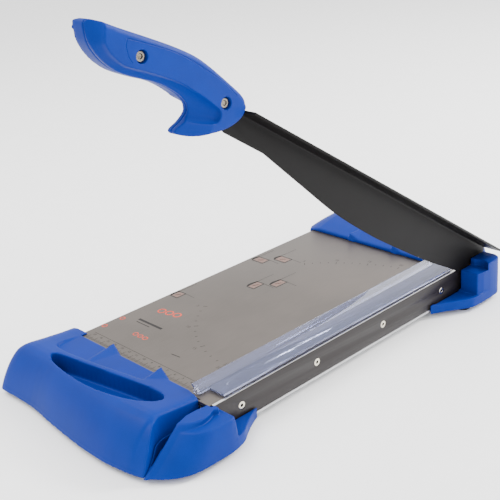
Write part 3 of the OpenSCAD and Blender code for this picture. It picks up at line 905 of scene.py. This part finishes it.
@dataclass
class PivotHousing(Moulding):
    """The two-level block outside the blade at the hinge, with the wing along the bar."""

    node: str = "pivot_housing"
    inner: float = 185.0
    outer: float = 206.2
    upper: float = 6.5
    wing_top: float = -20.5
    foot: Pair = (192.0, 294.0)

    def build(self) -> Piece:
        """Shape the housing.

        Returns:
            The finished moulding.
        """
        lower = [(self.inner, 300.6), (203.4, 300.6), (205.4, 308), (self.outer, 318), (self.inner, 318)]
        body = plate(self.bench, lower, self.depth, 0, "pivot_housing_moulding")
        corner = smooth_line([(self.outer, 322), (205.5, 330), (203, 335), (198, 337.8)])
        upper = [(self.inner, 312), (205.7, 312), (self.outer, 318), *corner, (self.inner, 338)]
        join(body, plate(self.bench, upper, self.depth, self.upper), Join.FUSE)
        # The riser between the levels is scooped by an upright cutter
        join(body, post(self.bench, (196.5, 306.6), 0, 12, 12), Join.CUT)
        join(body, block(self.bench, (180, 300, 0), (191, 316, 12)), Join.CUT)
        sweep = smooth_line([(183.0, 255), (190, 267.5), (197, 278), (202.4, 286.5), (205.4, 293),
                             (206.2, 303)])
        join(body, plate(self.bench, [*sweep, *corner, (182.9, 338)], self.depth, self.wing_top), Join.FUSE)
        # A shallow tray in the wing's top leaves a rim along its outer edge
        rim = smooth_line([(183.2, 260), (188, 268), (194, 278), (199.5, 288), (202.6, 300.4)])
        tray = [*rim, (180, 300.4), (180, 262)]
        tray_floor = self.wing_top - 1.3
        join(body, plate(self.bench, tray, tray_floor, tray_floor + 4), Join.CUT)
        join(body, block(self.bench, (164, 303, self.depth), (190, 338, -27.2)), Join.FUSE)
        join(body, cross_rod(self.bench, PIVOT, 180, 196.6, 6.9), Join.CUT)
        join(body, block(self.bench, (188, 305, UNDER), (199.5, 333, -14)), Join.CUT)
        join(body, post(self.bench, self.foot, SEAT, tray_floor, 8), Join.FUSE)
        soften(body, 0.6, 4)
        return body


# ---------------------------------------------------------------- metalwork of the base


@dataclass
class TableSheet:
    """The brushed table: one sheet whose left edge is folded down."""

    bench: Bench
    width: float = 179.3
    front: float = -8.0
    rear: float = 303.0
    thick: float = 1.5
    fold: float = 14.0
    bend: float = 2.6

    def build(self) -> Piece:
        """Fold the sheet.

        Returns:
            The finished sheet.
        """
        turn = [math.radians(90 + 15 * i) for i in range(7)]
        r_in = self.bend - self.thick
        outer = [(self.bend + self.bend * math.cos(a), -self.bend + self.bend * math.sin(a)) for a in turn]
        inner = [(self.bend + r_in * math.cos(a), -self.bend + r_in * math.sin(a)) for a in reversed(turn)]
        profile = [(self.width, 0), *outer, (0, -self.fold), (self.thick, -self.fold), *inner,
                   (self.width, -self.thick)]
        sheet = prism("table_sheet", [self.bench.at(x, self.front, z) for x, z in profile],
                      Vector((0, (self.rear - self.front) * MM, 0)))
        for y0, y1 in ((self.front - 1, 3.5), (291.5, self.rear + 1)):
            join(sheet, block(self.bench, (-1, y0, -20), (3, y1, -self.thick)), Join.CUT)
        # A tongue closes the gap to the arm rest
        low, high = (167.2, self.front - 2.4, -self.thick), (self.width, self.front + 1, 0)
        join(sheet, block(self.bench, low, high), Join.FUSE)
        crisp(sheet, 0.18)
        return sheet

    def dress(self, sheet: Piece, wardrobe: Wardrobe) -> None:
        """Give the sheet its finish and its place in the model."""
        wardrobe.wear(sheet, BRUSHED_STEEL)
        place(sheet, Body.BASE, "table_steel", "table_plate")


@dataclass
class LowerBlade:
    """The blackened bar with its bright ground land and four flush socket screws."""

    bench: Bench
    face: float = 182.0
    thick: float = 2.5
    front: float = -8.0
    rear: float = 342.0
    height: float = 24.9
    screw_first: float = 19.4
    screw_pitch: float = 85.0
    screw_z: float = -12.7

    def screw_spots(self) -> list[float]:
        """Give each screw's Y."""
        return [self.screw_first + self.screw_pitch * i for i in range(4)]

    def bar(self) -> Piece:
        """Make the drilled and ground bar."""
        x0 = self.face - self.thick
        outline = [(self.front, 0), (self.front, -self.height), (self.rear, -self.height), (self.rear, 0)]
        bar = prism("lower_blade_bar", [self.bench.at(x0, y, z) for y, z in outline],
                    Vector((self.thick * MM, 0, 0)))
        join(bar, cross_rod(self.bench, PIVOT, x0, self.face, 12), Join.FUSE)
        for y in self.screw_spots():
            join(bar, cross_rod(self.bench, (y, self.screw_z), self.face - 2, self.face + 1, 3.5), Join.CUT)
        join(bar, cross_rod(self.bench, PIVOT, 170, 190, 4.1), Join.CUT)
        crisp(bar, 0.35)
        return bar

    def screw(self, name: str) -> Piece:
        """Make one countersunk socket screw at the first screw's place."""
        spot = (self.screw_first, self.screw_z)
        screw = cross_rod(self.bench, spot, self.face - 1.9, self.face - 0.1, 3.3, name=name)
        join(screw, cross_rod(self.bench, spot, 173, self.face - 1.5, 1.6, 24), Join.FUSE)
        join(screw, cross_rod(self.bench, spot, self.face - 1.4, self.face + 1, 1.5, 6), Join.CUT)
        crisp(screw, 0.25)
        return screw

    def build(self) -> list[Piece]:
        """Make the bar and its screws.

        Returns:
            The bar, then the four screws.
        """
        first = self.screw("bar_screw_1")
        screws = [first]
        for i in range(1, 4):
            copy = first.copy()
            copy.data = first.data.copy()
            copy.name = f"bar_screw_{i + 1}"
            bpy.context.collection.objects.link(copy)
            copy.location = (0, self.screw_pitch * i * MM, 0)
            only(copy)
            bpy.ops.object.transform_apply(location=True, rotation=False, scale=False)
            screws.append(copy)
        return [self.bar(), *screws]

    def dress(self, pieces: Sequence[Piece], wardrobe: Wardrobe) -> None:
        """Give the bar and screws their finishes and places in the model."""
        bar, *screws = pieces
        wardrobe.wear(bar, BLACKENED_STEEL, GROUND_STEEL)
        pick_faces(bar, lambda c, n: n.z > 0.5 and self.bench.z_of(c.z) > -1, 1)
        place(bar, Body.BASE, "dark_steel", "lower_blade")
        for screw in screws:
            wardrobe.wear(screw, NICKEL, BLACK_INK_AND_SOCKET_SHADE)
            floor = self.bench.at(self.face - 1.3, 0, 0).x
            inside = self.bench.at(self.face - 0.5, 0, 0).x
            # The faces inside each hexagon socket get the black ink: painted shade for the dark of the deep
            # socket
            pick_faces(screw, lambda c, n: floor - 0.0002 < c.x < inside and self.in_socket(c), 1)
            place(screw, Body.BASE, "fasteners", "lower_blade_screws")

    def in_socket(self, centre: Vector) -> bool:
        """Say whether a face of a screw lies in its hexagon socket."""
        y = (centre.y - self.bench.front) / MM
        off = min(abs(y - spot) for spot in self.screw_spots())
        return math.hypot(off, self.bench.z_of(centre.z) - self.screw_z) < 1.55


@dataclass
class ClearGuard:
    """The clear strip beside the cutting line, with its upturned left lip."""

    bench: Bench
    front: float = -5.4
    rear: float = 294.0
    notch_x: float = 163.0
    notch_y: float = 4.5

    def build(self) -> Piece:
        """Extrude the strip and notch its front.

        Returns:
            The finished strip.
        """
        under = [(179.4, 1.1), (160.4, 1.1), (159.6, 1.3), (154.1, 6.8)]
        over = [(154.3, 7.6), (155.0, 8.1), (155.7, 8.0), (160.2, 3.2), (161.0, 2.9), (179.4, 2.9)]
        strip = prism("clear_guard", [self.bench.at(x, self.front, z) for x, z in under + over],
                      Vector((0, (self.rear - self.front) * MM, 0)))
        join(strip, block(self.bench, (self.notch_x, self.front - 2, 0), (185, self.notch_y, 10)), Join.CUT)
        for y in (-3.2, 291.0):
            foot = [(154.8, 0.05), (159.8, 0.05), (159.9, 1.6), (156, 5.4)]
            join(strip, prism("tool_foot", [self.bench.at(x, y - 1.8, z) for x, z in foot],
                              Vector((0, 3.6 * MM, 0))), Join.FUSE)
        crisp(strip, 0.2)
        return strip

    def dress(self, strip: Piece, wardrobe: Wardrobe) -> None:
        """Give the strip its finish and its place in the model."""
        wardrobe.wear(strip, ClearPlastic())
        place(strip, Body.BASE, "clear_guard", "blade_guard")


@dataclass
class Feet:
    """The four rubber feet."""

    bench: Bench
    floor: float = -34.0
    top: float = SEAT
    radius: float = 7.0
    spots: tuple[tuple[str, float, float], ...] = (
        ("front_left", -4, -52), ("front_right", 186, -38), ("rear_left", -4, 348), ("rear_right", 192, 294))

    def build(self) -> list[Piece]:
        """Turn each of the four feet.

        Returns:
            The four feet.
        """
        feet = []
        for name, x, y in self.spots:
            foot = post(self.bench, (x, y), self.floor, self.top, self.radius, name=f"rubber_foot_{name}")
            ring = post(self.bench, (x, y), self.floor + 2.6, self.floor + 3.4, self.radius + 1)
            join(ring, post(self.bench, (x, y), UNDER, -20, self.radius - 0.5), Join.CUT)
            join(foot, ring, Join.CUT)
            crisp(foot, 0.5, 3)
            feet.append(foot)
        return feet

    def dress(self, feet: Sequence[Piece], wardrobe: Wardrobe) -> None:
        """Give the feet their finish and their places in the model."""
        for foot, (name, _, _) in zip(feet, self.spots):
            wardrobe.wear(foot, RUBBER)
            place(foot, Body.BASE, "foot_rubber", f"foot_{name}")


# ---------------------------------------------------------------- arm


@dataclass
class ArmBlade:
    """The upper blade: a curved plate whose back is bent out into a stiffening flange."""

    arm: Arm
    inner: float = 182.2
    thick: float = 1.8
    flange: float = 19.0
    under: float = 22.7
    flange_end: float = 359.5
    eye: float = 12.0

    def build(self) -> Piece:
        """Shape the blade.

        Returns:
            The finished blade.
        """
        at = self.arm.at
        edge = smooth_line([(16, -9.2), (32, -9.8), (78, -13.1), (135, -14.4), (172, -14), (220, -10.6),
                            (270, -2.6), (319, 5.6)])
        tang = [(362, 5.9), (384, 13), (424, 18.5), (460, 19.5), (464, 26), (460, 31.5), (424, 32),
                (384, 32), (368, 29.5), (361, 24.4)]
        outline = [(-6, 24.4), (-12, 8), (-12, 0), (0, -12), *edge, *tang]
        blade = plate(self.arm, outline, self.inner, self.inner + self.thick, "arm_blade_sheet")
        join(blade, post(self.arm, (0, 0), self.inner, self.inner + self.thick, self.eye), Join.FUSE)
        # The bend's outer round joins the plate's face to the flange's back
        bend = [math.radians(90 + 15 * i) for i in range(7)]
        r, x0, top = 2.4, self.inner, self.under + self.thick
        outer = [(x0 + r + r * math.cos(a), top - r + r * math.sin(a)) for a in bend]
        profile = [(x0 + self.thick + self.flange, top), *outer, (x0, self.under - 3),
                   (x0 + self.thick, self.under - 3), (x0 + self.thick + 0.3, self.under - 0.5),
                   (x0 + self.thick + 0.8, self.under), (x0 + self.thick + self.flange, self.under)]
        along = at(self.flange_end, 0, 0) - at(-6, 0, 0)
        join(blade, block(self.arm, (-14, 21.5, 150), (360, 30, 250)), Join.CUT)
        join(blade, prism("tool_flange", [at(-6, h, x) for x, h in profile], along), Join.FUSE)
        join(blade, post(self.arm, (0, 0), 170, 200, 6), Join.CUT)
        crisp(blade, 0.3)
        return blade

    def dress(self, blade: Piece, wardrobe: Wardrobe) -> None:
        """Give the blade its finish and its place in the model."""
        wardrobe.wear(blade, BLACK_COAT)
        place(blade, Body.ARM, "blade_black", "arm_blade")


@dataclass
class Handle:
    """The two-shell pistol handle with its side panel, scooped flank and recessed screws."""

    arm: Arm
    middle: float = 183.1
    thick: float = 23.0
    crown: float = 4.0
    scoop_r: float = 11.8
    bore_r: float = 4.3
    screws: tuple[Pair, ...] = ((379.4, 22.2), (456.8, 22.3))

    def outline(self) -> list[Pair]:
        """Give the handle's side outline as reach and rise."""
        top = [(360.5, 23), (361.6, 29.2), (367.4, 32.9), (382.3, 35.8), (401.2, 38.8), (416.4, 39.9),
               (433.8, 38.5), (453.5, 35.6), (478.8, 31.4), (493, 29.4), (496.3, 27.7), (496.7, 25.2),
               (494.4, 21.6), (489.7, 16.2), (481.8, 11.9), (472.9, 9.4), (463, 8.8), (449, 10.9),
               (435, 13.9), (424, 14.7), (413, 14.2), (404.5, 12), (400.9, 8.6), (400.5, 5.5),
               (402.6, -0.7), (406.5, -7.2)]
        hook = [(406.5, -7.2), (406.6, -9.2), (404, -10), (396, -8), (389, -4.8), (382.5, -0.8),
                (374.5, 4.3), (366.8, 11), (361.8, 18), (360.5, 23)]
        return smooth_line(top, 4)[:-1] + smooth_line(hook, 4)[:-1]

    def scoop_line(self) -> list[Pair]:
        """Give the path of the ball cutter that hollows the flank below the panel."""
        return smooth_line([(502.5, 40), (500.6, 26), (494.6, 12.6), (487.2, 6.3), (477.6, 2.5), (464.4, 1.1),
                            (449.6, 3.8), (434.3, 6.5), (420.4, 8.1), (412, 7.8), (408, 7.5)], 4)

    def upper_border(self) -> list[Pair]:
        """Give the panel's upper border, a fine groove under the crown."""
        return smooth_line([(471.6, 27.6), (455.4, 31.1), (436.2, 34.7), (418.6, 35.6), (403.9, 35),
                            (388.3, 33.8), (373.2, 30.4)], 4)

    def rounded(self, shell: Piece, side: int) -> None:
        """Bevel the crown widely and every other outer edge a little, in edit mode."""
        outer = self.arm.at(0, 0, self.middle + side * self.thick / 2).x
        cos, sin = math.cos(self.arm.raised), math.sin(self.arm.raised)
        pivot = self.arm.at(0, 0, 0)
        for width, is_crown in ((self.crown, True), (1.2 if side > 0 else 2.4, False)):
            only(shell)
            bpy.ops.object.mode_set(mode="EDIT")
            bpy.ops.mesh.select_all(action="DESELECT")
            bpy.ops.object.mode_set(mode="OBJECT")
            for edge in shell.data.edges:
                ends = [shell.data.vertices[v].co for v in edge.vertices]
                rises = [((p.y - pivot.y) * sin + (p.z - pivot.z) * cos) / MM for p in ends]
                high = all(rise > 27.5 for rise in rises)
                edge.select = all(abs(p.x - outer) < 1e-5 for p in ends) and high == is_crown
            bpy.ops.object.mode_set(mode="EDIT")
            bpy.ops.mesh.select_mode(type="EDGE")
            bpy.ops.mesh.bevel(offset=width * MM, segments=4, profile=0.5, affect="EDGES",
                               clamp_overlap=False)
            bpy.ops.mesh.select_mode(type="VERT")
            bpy.ops.object.mode_set(mode="OBJECT")

    def shell(self, name: str, side: int) -> Piece:
        """Shape one half of the handle; side is -1 for the left and 1 for the right."""
        at = self.arm.at
        start = self.middle + side * 0.06
        face = self.middle + side * self.thick / 2
        shell = plate(self.arm, self.outline(), start, face, name)
        self.rounded(shell, side)
        modify(shell, "REMESH", mode="VOXEL", voxel_size=0.6 * MM)
        if side > 0:
            self.scoop(shell, face)
        else:
            # Slimmed low down, to clear the front cap when the arm is down
            join(shell, block(self.arm, (350, -16, 150), (412, 13.5, self.middle - 3.8)), Join.CUT)
        for s, h in self.screws:
            join(shell, post(self.arm, (s, h), face - side * 4, face + side * 3, self.bore_r), Join.CUT)
            join(shell, post(self.arm, (s, h), 165, 200, 2.2, 24), Join.CUT)
        soften(shell, 0.62, 4)
        groove = [at(s, h, face + side * 0.2) for s, h in self.upper_border()]
        join(shell, tube("tool_groove", groove, 0.62), Join.CUT)
        seam = ((471.6, 27.6), (470.7, 23), (466, 18), (461.9, 15.9))
        split = [at(s, h, face + side * 0.35) for s, h in seam]
        join(shell, tube("tool_split", split, 0.6), Join.CUT)
        only(shell)
        bpy.ops.object.shade_smooth_by_angle(angle=math.radians(40))
        return shell

    def scoop(self, shell: Piece, face: float) -> None:
        """Hollow the right shell's flank, its finger throat and the slant of its hook."""
        at = self.arm.at
        path = [at(s, h, face + 0.9) for s, h in self.scoop_line()]
        join(shell, tube("tool_scoop", path, self.scoop_r), Join.CUT)
        # The trough tapers off behind the hook, cut by a row of shrinking balls
        for i in range(12):
            t = i / 11
            bpy.ops.object.select_all(action="DESELECT")
            bpy.ops.mesh.primitive_uv_sphere_add(segments=32, ring_count=16,
                                                 radius=(self.scoop_r - 6.2 * t ** 1.2) * MM,
                                                 location=at(408 - 23 * t, 7.5 + 3.8 * t, face + 0.9))
            ball = bpy.context.object
            bpy.ops.object.transform_apply(location=True, rotation=True, scale=True)
            join(shell, ball, Join.CUT)
        slant = [(383, face + 0.3), (410, face - 8.8), (410, face + 3)]
        join(shell, prism("tool_slant", [at(s, -14, x) for s, x in slant], at(0, 21, 0) - at(0, 0, 0)),
             Join.CUT)

    def screw(self, name: str, s: float, h: float) -> Piece:
        """Make one socket-head screw that clamps the shells on the tang."""
        seat, tip = self.middle + self.thick / 2 - 4, self.middle - self.thick / 2 + 1
        screw = post(self.arm, (s, h), seat, seat + 2.2, 3.5, name=name)
        join(screw, post(self.arm, (s, h), seat + 0.8, seat + 4, 1.9, 6), Join.CUT)
        join(screw, post(self.arm, (s, h), tip, seat + 0.2, 1.95, 24), Join.FUSE)
        crisp(screw, 0.5, 3)
        return screw

    def build(self) -> list[Piece]:
        """Make both shells and both screws.

        Returns:
            The left shell, the right shell and the two screws.
        """
        shells = [self.shell("handle_shell_left", -1), self.shell("handle_shell_right", 1)]
        screws = [self.screw(f"handle_screw_{i + 1}", s, h) for i, (s, h) in enumerate(self.screws)]
        return shells + screws

    def dress(self, pieces: Sequence[Piece], wardrobe: Wardrobe) -> None:
        """Give the handle its finishes and its places in the model."""
        left, right, *screws = pieces
        for shell, node in ((left, "handle_left"), (right, "handle_right")):
            wardrobe.wear(shell, SPARKED_ABS)
            place(shell, Body.ARM, "blue_plastic", node)
        for screw in screws:
            # The screws' darker steel colour is painted shade for their deep seats
            wardrobe.wear(screw, SEAT_SHADED_SCREW_STEEL)
            place(screw, Body.ARM, "fasteners", "handle_screws")


# ---------------------------------------------------------------- print on the table


@dataclass
class TablePrint:
    """The screen-printed ruler, format corners and angle scales."""

    bench: Bench
    height: float = 0.06
    zero_x: float = 180.3
    ruler_y: float = 6.7

    def bar(self, x0: float, y0: float, x1: float, y1: float, width: float) -> Piece:
        """Print a straight stroke between two points.

        Args:
            x0: start along X.
            y0: start along Y.
            x1: end along X.
            y1: end along Y.
            width: of the stroke; all in millimetres.

        Returns:
            A flat mesh facing up.
        """
        bpy.ops.object.select_all(action="DESELECT")
        turn = math.atan2(y1 - y0, x1 - x0)
        middle = self.bench.at((x0 + x1) / 2, (y0 + y1) / 2, self.height)
        bpy.ops.mesh.primitive_plane_add(size=1, location=middle, rotation=(0, 0, turn))
        stroke = bpy.context.object
        stroke.scale = (math.hypot(x1 - x0, y1 - y0) * MM, width * MM, 1)
        bpy.ops.object.transform_apply(location=True, rotation=True, scale=True)
        return stroke

    def number(self, value: str, x: float, y: float, size: float, turn: float = 0.0) -> Piece:
        """Print a number.

        Args:
            value: its digits.
            x: middle along X, in millimetres.
            y: middle along Y, in millimetres.
            size: of the digits, in millimetres.
            turn: about the upright axis, in radians.

        Returns:
            A flat mesh facing up.
        """
        bpy.ops.object.select_all(action="DESELECT")
        bpy.ops.object.text_add(location=self.bench.at(x, y, self.height), rotation=(0, 0, turn))
        text = bpy.context.object
        text.data.body = value
        text.data.size = size * MM
        text.data.align_x = text.data.align_y = "CENTER"
        bpy.ops.object.convert(target="MESH")
        text = bpy.context.object
        bpy.ops.object.transform_apply(location=True, rotation=True, scale=True)
        return text

    def row(self, first: float, step: float, count: int, low: float, high: float,
            width: float) -> Piece:
        """Print a row of equal ticks along the ruler, from one tick and an array."""
        tick = self.bar(first, low, first, high, width)
        modify(tick, "ARRAY", count=count, use_relative_offset=False, use_constant_offset=True,
               constant_offset_displace=(step * MM, 0, 0))
        return tick

    def ruler(self) -> list[Piece]:
        """Print the centimetre ruler beside the front cap."""
        marks = [self.bar(9, self.ruler_y, 151, self.ruler_y, 0.35),
                 self.row(self.zero_x - 30, -1, 141, -4, -1.2, 0.16),
                 self.row(self.zero_x - 30, -5, 29, -4, 0.4, 0.24),
                 self.row(self.zero_x - 30, -10, 15, -4, 1.8, 0.34)]
        for k in range(4, 18):
            marks.append(self.number(str(k), self.zero_x - 10 * k + 2.2, 3.6, 3.4))
        return marks

    def arc(self, centre: Pair, radius: float, angles: Sequence[float], long_every: int,
            width: float) -> list[Piece]:
        """Print an angle scale: ticks on an arc, with a number at each long one."""
        marks = []
        for i, angle in enumerate(angles):
            c, s = math.cos(math.radians(angle)), math.sin(math.radians(angle))
            length = 4.2 if i % long_every == 0 else 2.2
            ends = [(centre[0] + r * c, centre[1] + r * s) for r in (radius, radius - length)]
            marks.append(self.bar(*ends[0], *ends[1], width))
            if i % long_every == 0:
                x, y = centre[0] + (radius + 5) * c, centre[1] + (radius + 5) * s
                marks.append(self.number(str(5 * round(i / long_every) + 5), x, y, 4.4))
        return marks

    def corner(self, x: float, y: float, wide: float, deep: float) -> list[Piece]:
        """Print the bold stop and the two fold lines of one paper format, up from (x, y)."""
        bow = smooth_line([(x - 0.4, y + 1.5), (x - 1.6, y + deep * 0.45), (x + 0.4, y + deep)], 3)
        bold = [self.bar(*a, *b, 2.0) for a, b in zip(bow, bow[1:])]
        lines = [self.bar(x, y + deep, x + 0.6, y + deep + 21, 0.35),
                 self.bar(x + wide, y + deep, x + wide + 13, y + deep - 1, 0.35)]
        frame_lines = [self.bar(x, y, x + wide, y, 0.8), self.bar(x + wide, y, x + wide, y + deep, 0.8),
                       self.bar(x, y + deep, x + wide, y + deep, 0.8), self.bar(x, y, x, y + deep, 0.8)]
        return bold + lines + frame_lines

    def formats(self) -> list[tuple[float, float, float, float]]:
        """Give the paper-format corners as X, Y, width and depth."""
        return [(6.4, 200, 15, 10), (23.4, 214, 15, 10.5), (63, 168.5, 9.2, 14.5), (48.3, 153, 9.2, 14),
                (4.3, 96, 9.5, 11)]

    def build(self) -> list[Piece]:
        """Print everything, one mesh for each ink.

        Returns:
            The black, grey, red and pale red prints.
        """
        black = self.ruler()
        for x, y, wide, deep in self.formats():
            black += self.corner(x, y, wide, deep)
        # Plain bars and rings where a maker prints its name: no lettering
        black += [self.bar(20, 47, 52, 47, 2.6), self.bar(22, 42.6, 40, 42.6, 0.9)]
        black += [self.bar(94, 23.5, 104, 24.3, 0.8)]
        grey = self.arc((181.6, 98.4), 179, [135 - 2.5 * i for i in range(15)], 4, 0.75)
        grey += self.arc((148, 151), 113.5, [207 + 5 * i for i in range(13)], 4, 0.8)
        red, pale = [], []
        for x, y in ((24, 70), (33, 71.5), (42, 73)):
            red += self.ring(x, y, 3.6, 1.3)
        for x, y in ((6.8, 38.5), (5.6, 19.5), (41, 27), (47.5, 27), (54, 27)):
            red += self.ring(x, y, 2.3, 0.9)
        for x, y, wide, deep in self.formats():
            pale.append(self.bar(x + 1, y + deep / 2, x + wide - 1, y + deep / 2, deep - 2))
            red.append(self.bar(x + wide * 0.35, y + deep * 0.3, x + wide * 0.65, y + deep * 0.7, 0.8))
        return [merge("table_print_black", black), merge("table_print_grey", grey),
                merge("table_print_red", red), merge("table_print_pale", pale)]

    def ring(self, x: float, y: float, radius: float, width: float) -> list[Piece]:
        """Print a plain ring from eight short strokes."""
        spots = [(x + radius * math.cos(math.pi * i / 6), y + radius * math.sin(math.pi * i / 6))
                 for i in range(13)]
        return [self.bar(*a, *b, width) for a, b in zip(spots, spots[1:])]

    def dress(self, prints: Sequence[Piece], wardrobe: Wardrobe) -> None:
        """Give each print its ink and its place in the model."""
        for mark, ink in zip(prints, (BLACK_INK_AND_SOCKET_SHADE, GREY_INK, RED_INK, PALE_RED_INK)):
            wardrobe.wear(mark, ink)
            place(mark, Body.BASE, "table_steel")


# ---------------------------------------------------------------- what stays from the frame


@dataclass
class FrameParts:
    """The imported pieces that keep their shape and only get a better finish."""

    finishes: tuple[tuple[Finish, tuple[str, ...]], ...] = (
        (MILL_ALUMINIUM, ("left_channel", "side_beam", "cross_brace_front", "cross_brace_rear",
                          "front_bracket", "rear_bracket")),
        (ZINC, ("cap_screws", "block_screws", "housing_screws", "handle_nuts", "pivot_plate",
                "pivot_bolt", "flat_washer", "spring_washer", "pivot_nut")),
        (NICKEL, ("guard_rivets",)),
        (BRONZE, ("pivot_bush",)))

    def dress(self, wardrobe: Wardrobe) -> None:
        """Put each finish on its nodes."""
        for finish, nodes in self.finishes:
            for node in nodes:
                wardrobe.wear(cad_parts[node], finish)
                log.info("%s: %s", node, finish.name)


# ---------------------------------------------------------------- studio


@dataclass(frozen=True)
class Lamp:
    """One soft area lamp, aimed at a point."""

    name: str
    spot: Triple
    aim: Triple
    size: float
    watts: float

    def build(self) -> None:
        """Hang the lamp."""
        data = bpy.data.lights.new(self.name, "AREA")
        data.size, data.energy = self.size, self.watts
        lamp = bpy.data.objects.new(self.name, data)
        lamp.location = self.spot
        lamp.rotation_euler = (Vector(self.aim) - Vector(self.spot)).to_track_quat("-Z", "Y").to_euler()
        bpy.context.collection.objects.link(lamp)


@dataclass
class Studio:
    """The camera, the lamps, the pale floor and the even sky."""

    eye: Triple = (0.57454, -0.5396, 0.4124)
    azimuth: float = math.radians(48.087)
    elevation: float = math.radians(22.482)
    roll: float = math.radians(4.824)
    lens: float = 69.54
    lamps: tuple[Lamp, ...] = (
        Lamp("key_lamp", (-0.5, -0.7, 1.5), (0, 0, 0.05), 1.1, 26),
        Lamp("rear_lamp", (0.2, 1.5, 1.2), (0, 0.1, 0.05), 1.2, 22),
        Lamp("side_lamp", (1.5, 0.3, 0.9), (0, 0, 0.1), 1.0, 10),
        Lamp("streak_lamp", (0.69, 1.14, 0.9), (0.065, 0.085, 0.04), 0.3, 22))

    def camera(self) -> None:
        """Set up the camera from its bearing, tilt and roll."""
        az, el = self.azimuth, self.elevation
        ahead = Vector((-math.sin(az) * math.cos(el), math.cos(az) * math.cos(el), -math.sin(el)))
        level = Vector((math.cos(az), math.sin(az), 0))
        down = ahead.cross(level)
        right = level * math.cos(self.roll) + down * math.sin(self.roll)
        below = down * math.cos(self.roll) - level * math.sin(self.roll)
        data = bpy.data.cameras.new("studio_camera")
        data.lens, data.sensor_width = self.lens, 36.0
        data.clip_start, data.clip_end = 0.01, 50.0
        camera = bpy.data.objects.new("studio_camera", data)
        turn = Matrix((right, -below, -ahead)).transposed().to_4x4()
        camera.matrix_world = Matrix.Translation(self.eye) @ turn
        bpy.context.collection.objects.link(camera)
        bpy.context.scene.camera = camera

    def floor(self, wardrobe: Wardrobe) -> None:
        """Lay a wide pale floor under the feet."""
        bpy.ops.object.select_all(action="DESELECT")
        bpy.ops.mesh.primitive_plane_add(size=8, location=(0, 0, 0))
        floor = bpy.context.object
        floor.name = "studio_floor"
        wardrobe.wear(floor, PAPER)

    def sky(self) -> None:
        """Fill the room with even white light."""
        world = bpy.data.worlds.new("studio_sky")
        world.use_nodes = True
        back = world.node_tree.nodes["Background"]
        back.inputs["Color"].default_value = linear("#FFFFFF")
        back.inputs["Strength"].default_value = 1.75
        bpy.context.scene.world = world

    def build(self, wardrobe: Wardrobe) -> None:
        """Set up the whole studio."""
        self.camera()
        self.floor(wardrobe)
        self.sky()
        for lamp in self.lamps:
            lamp.build()


def main() -> None:
    """Build the studio and every part."""
    logging.basicConfig(level=logging.INFO, format="%(message)s", force=True)
    bench = Bench.from_frame()
    arm = Arm(bench)
    wardrobe = Wardrobe()
    Studio().build(wardrobe)
    for part in (FrontCap(bench), SideBlock(bench), RearCap(bench), PivotHousing(bench), TableSheet(bench),
                 LowerBlade(bench), ClearGuard(bench), Feet(bench), ArmBlade(arm), Handle(arm),
                 TablePrint(bench)):
        part.dress(part.build(), wardrobe)
    FrameParts().dress(wardrobe)


if __name__ == "__main__":
    main()
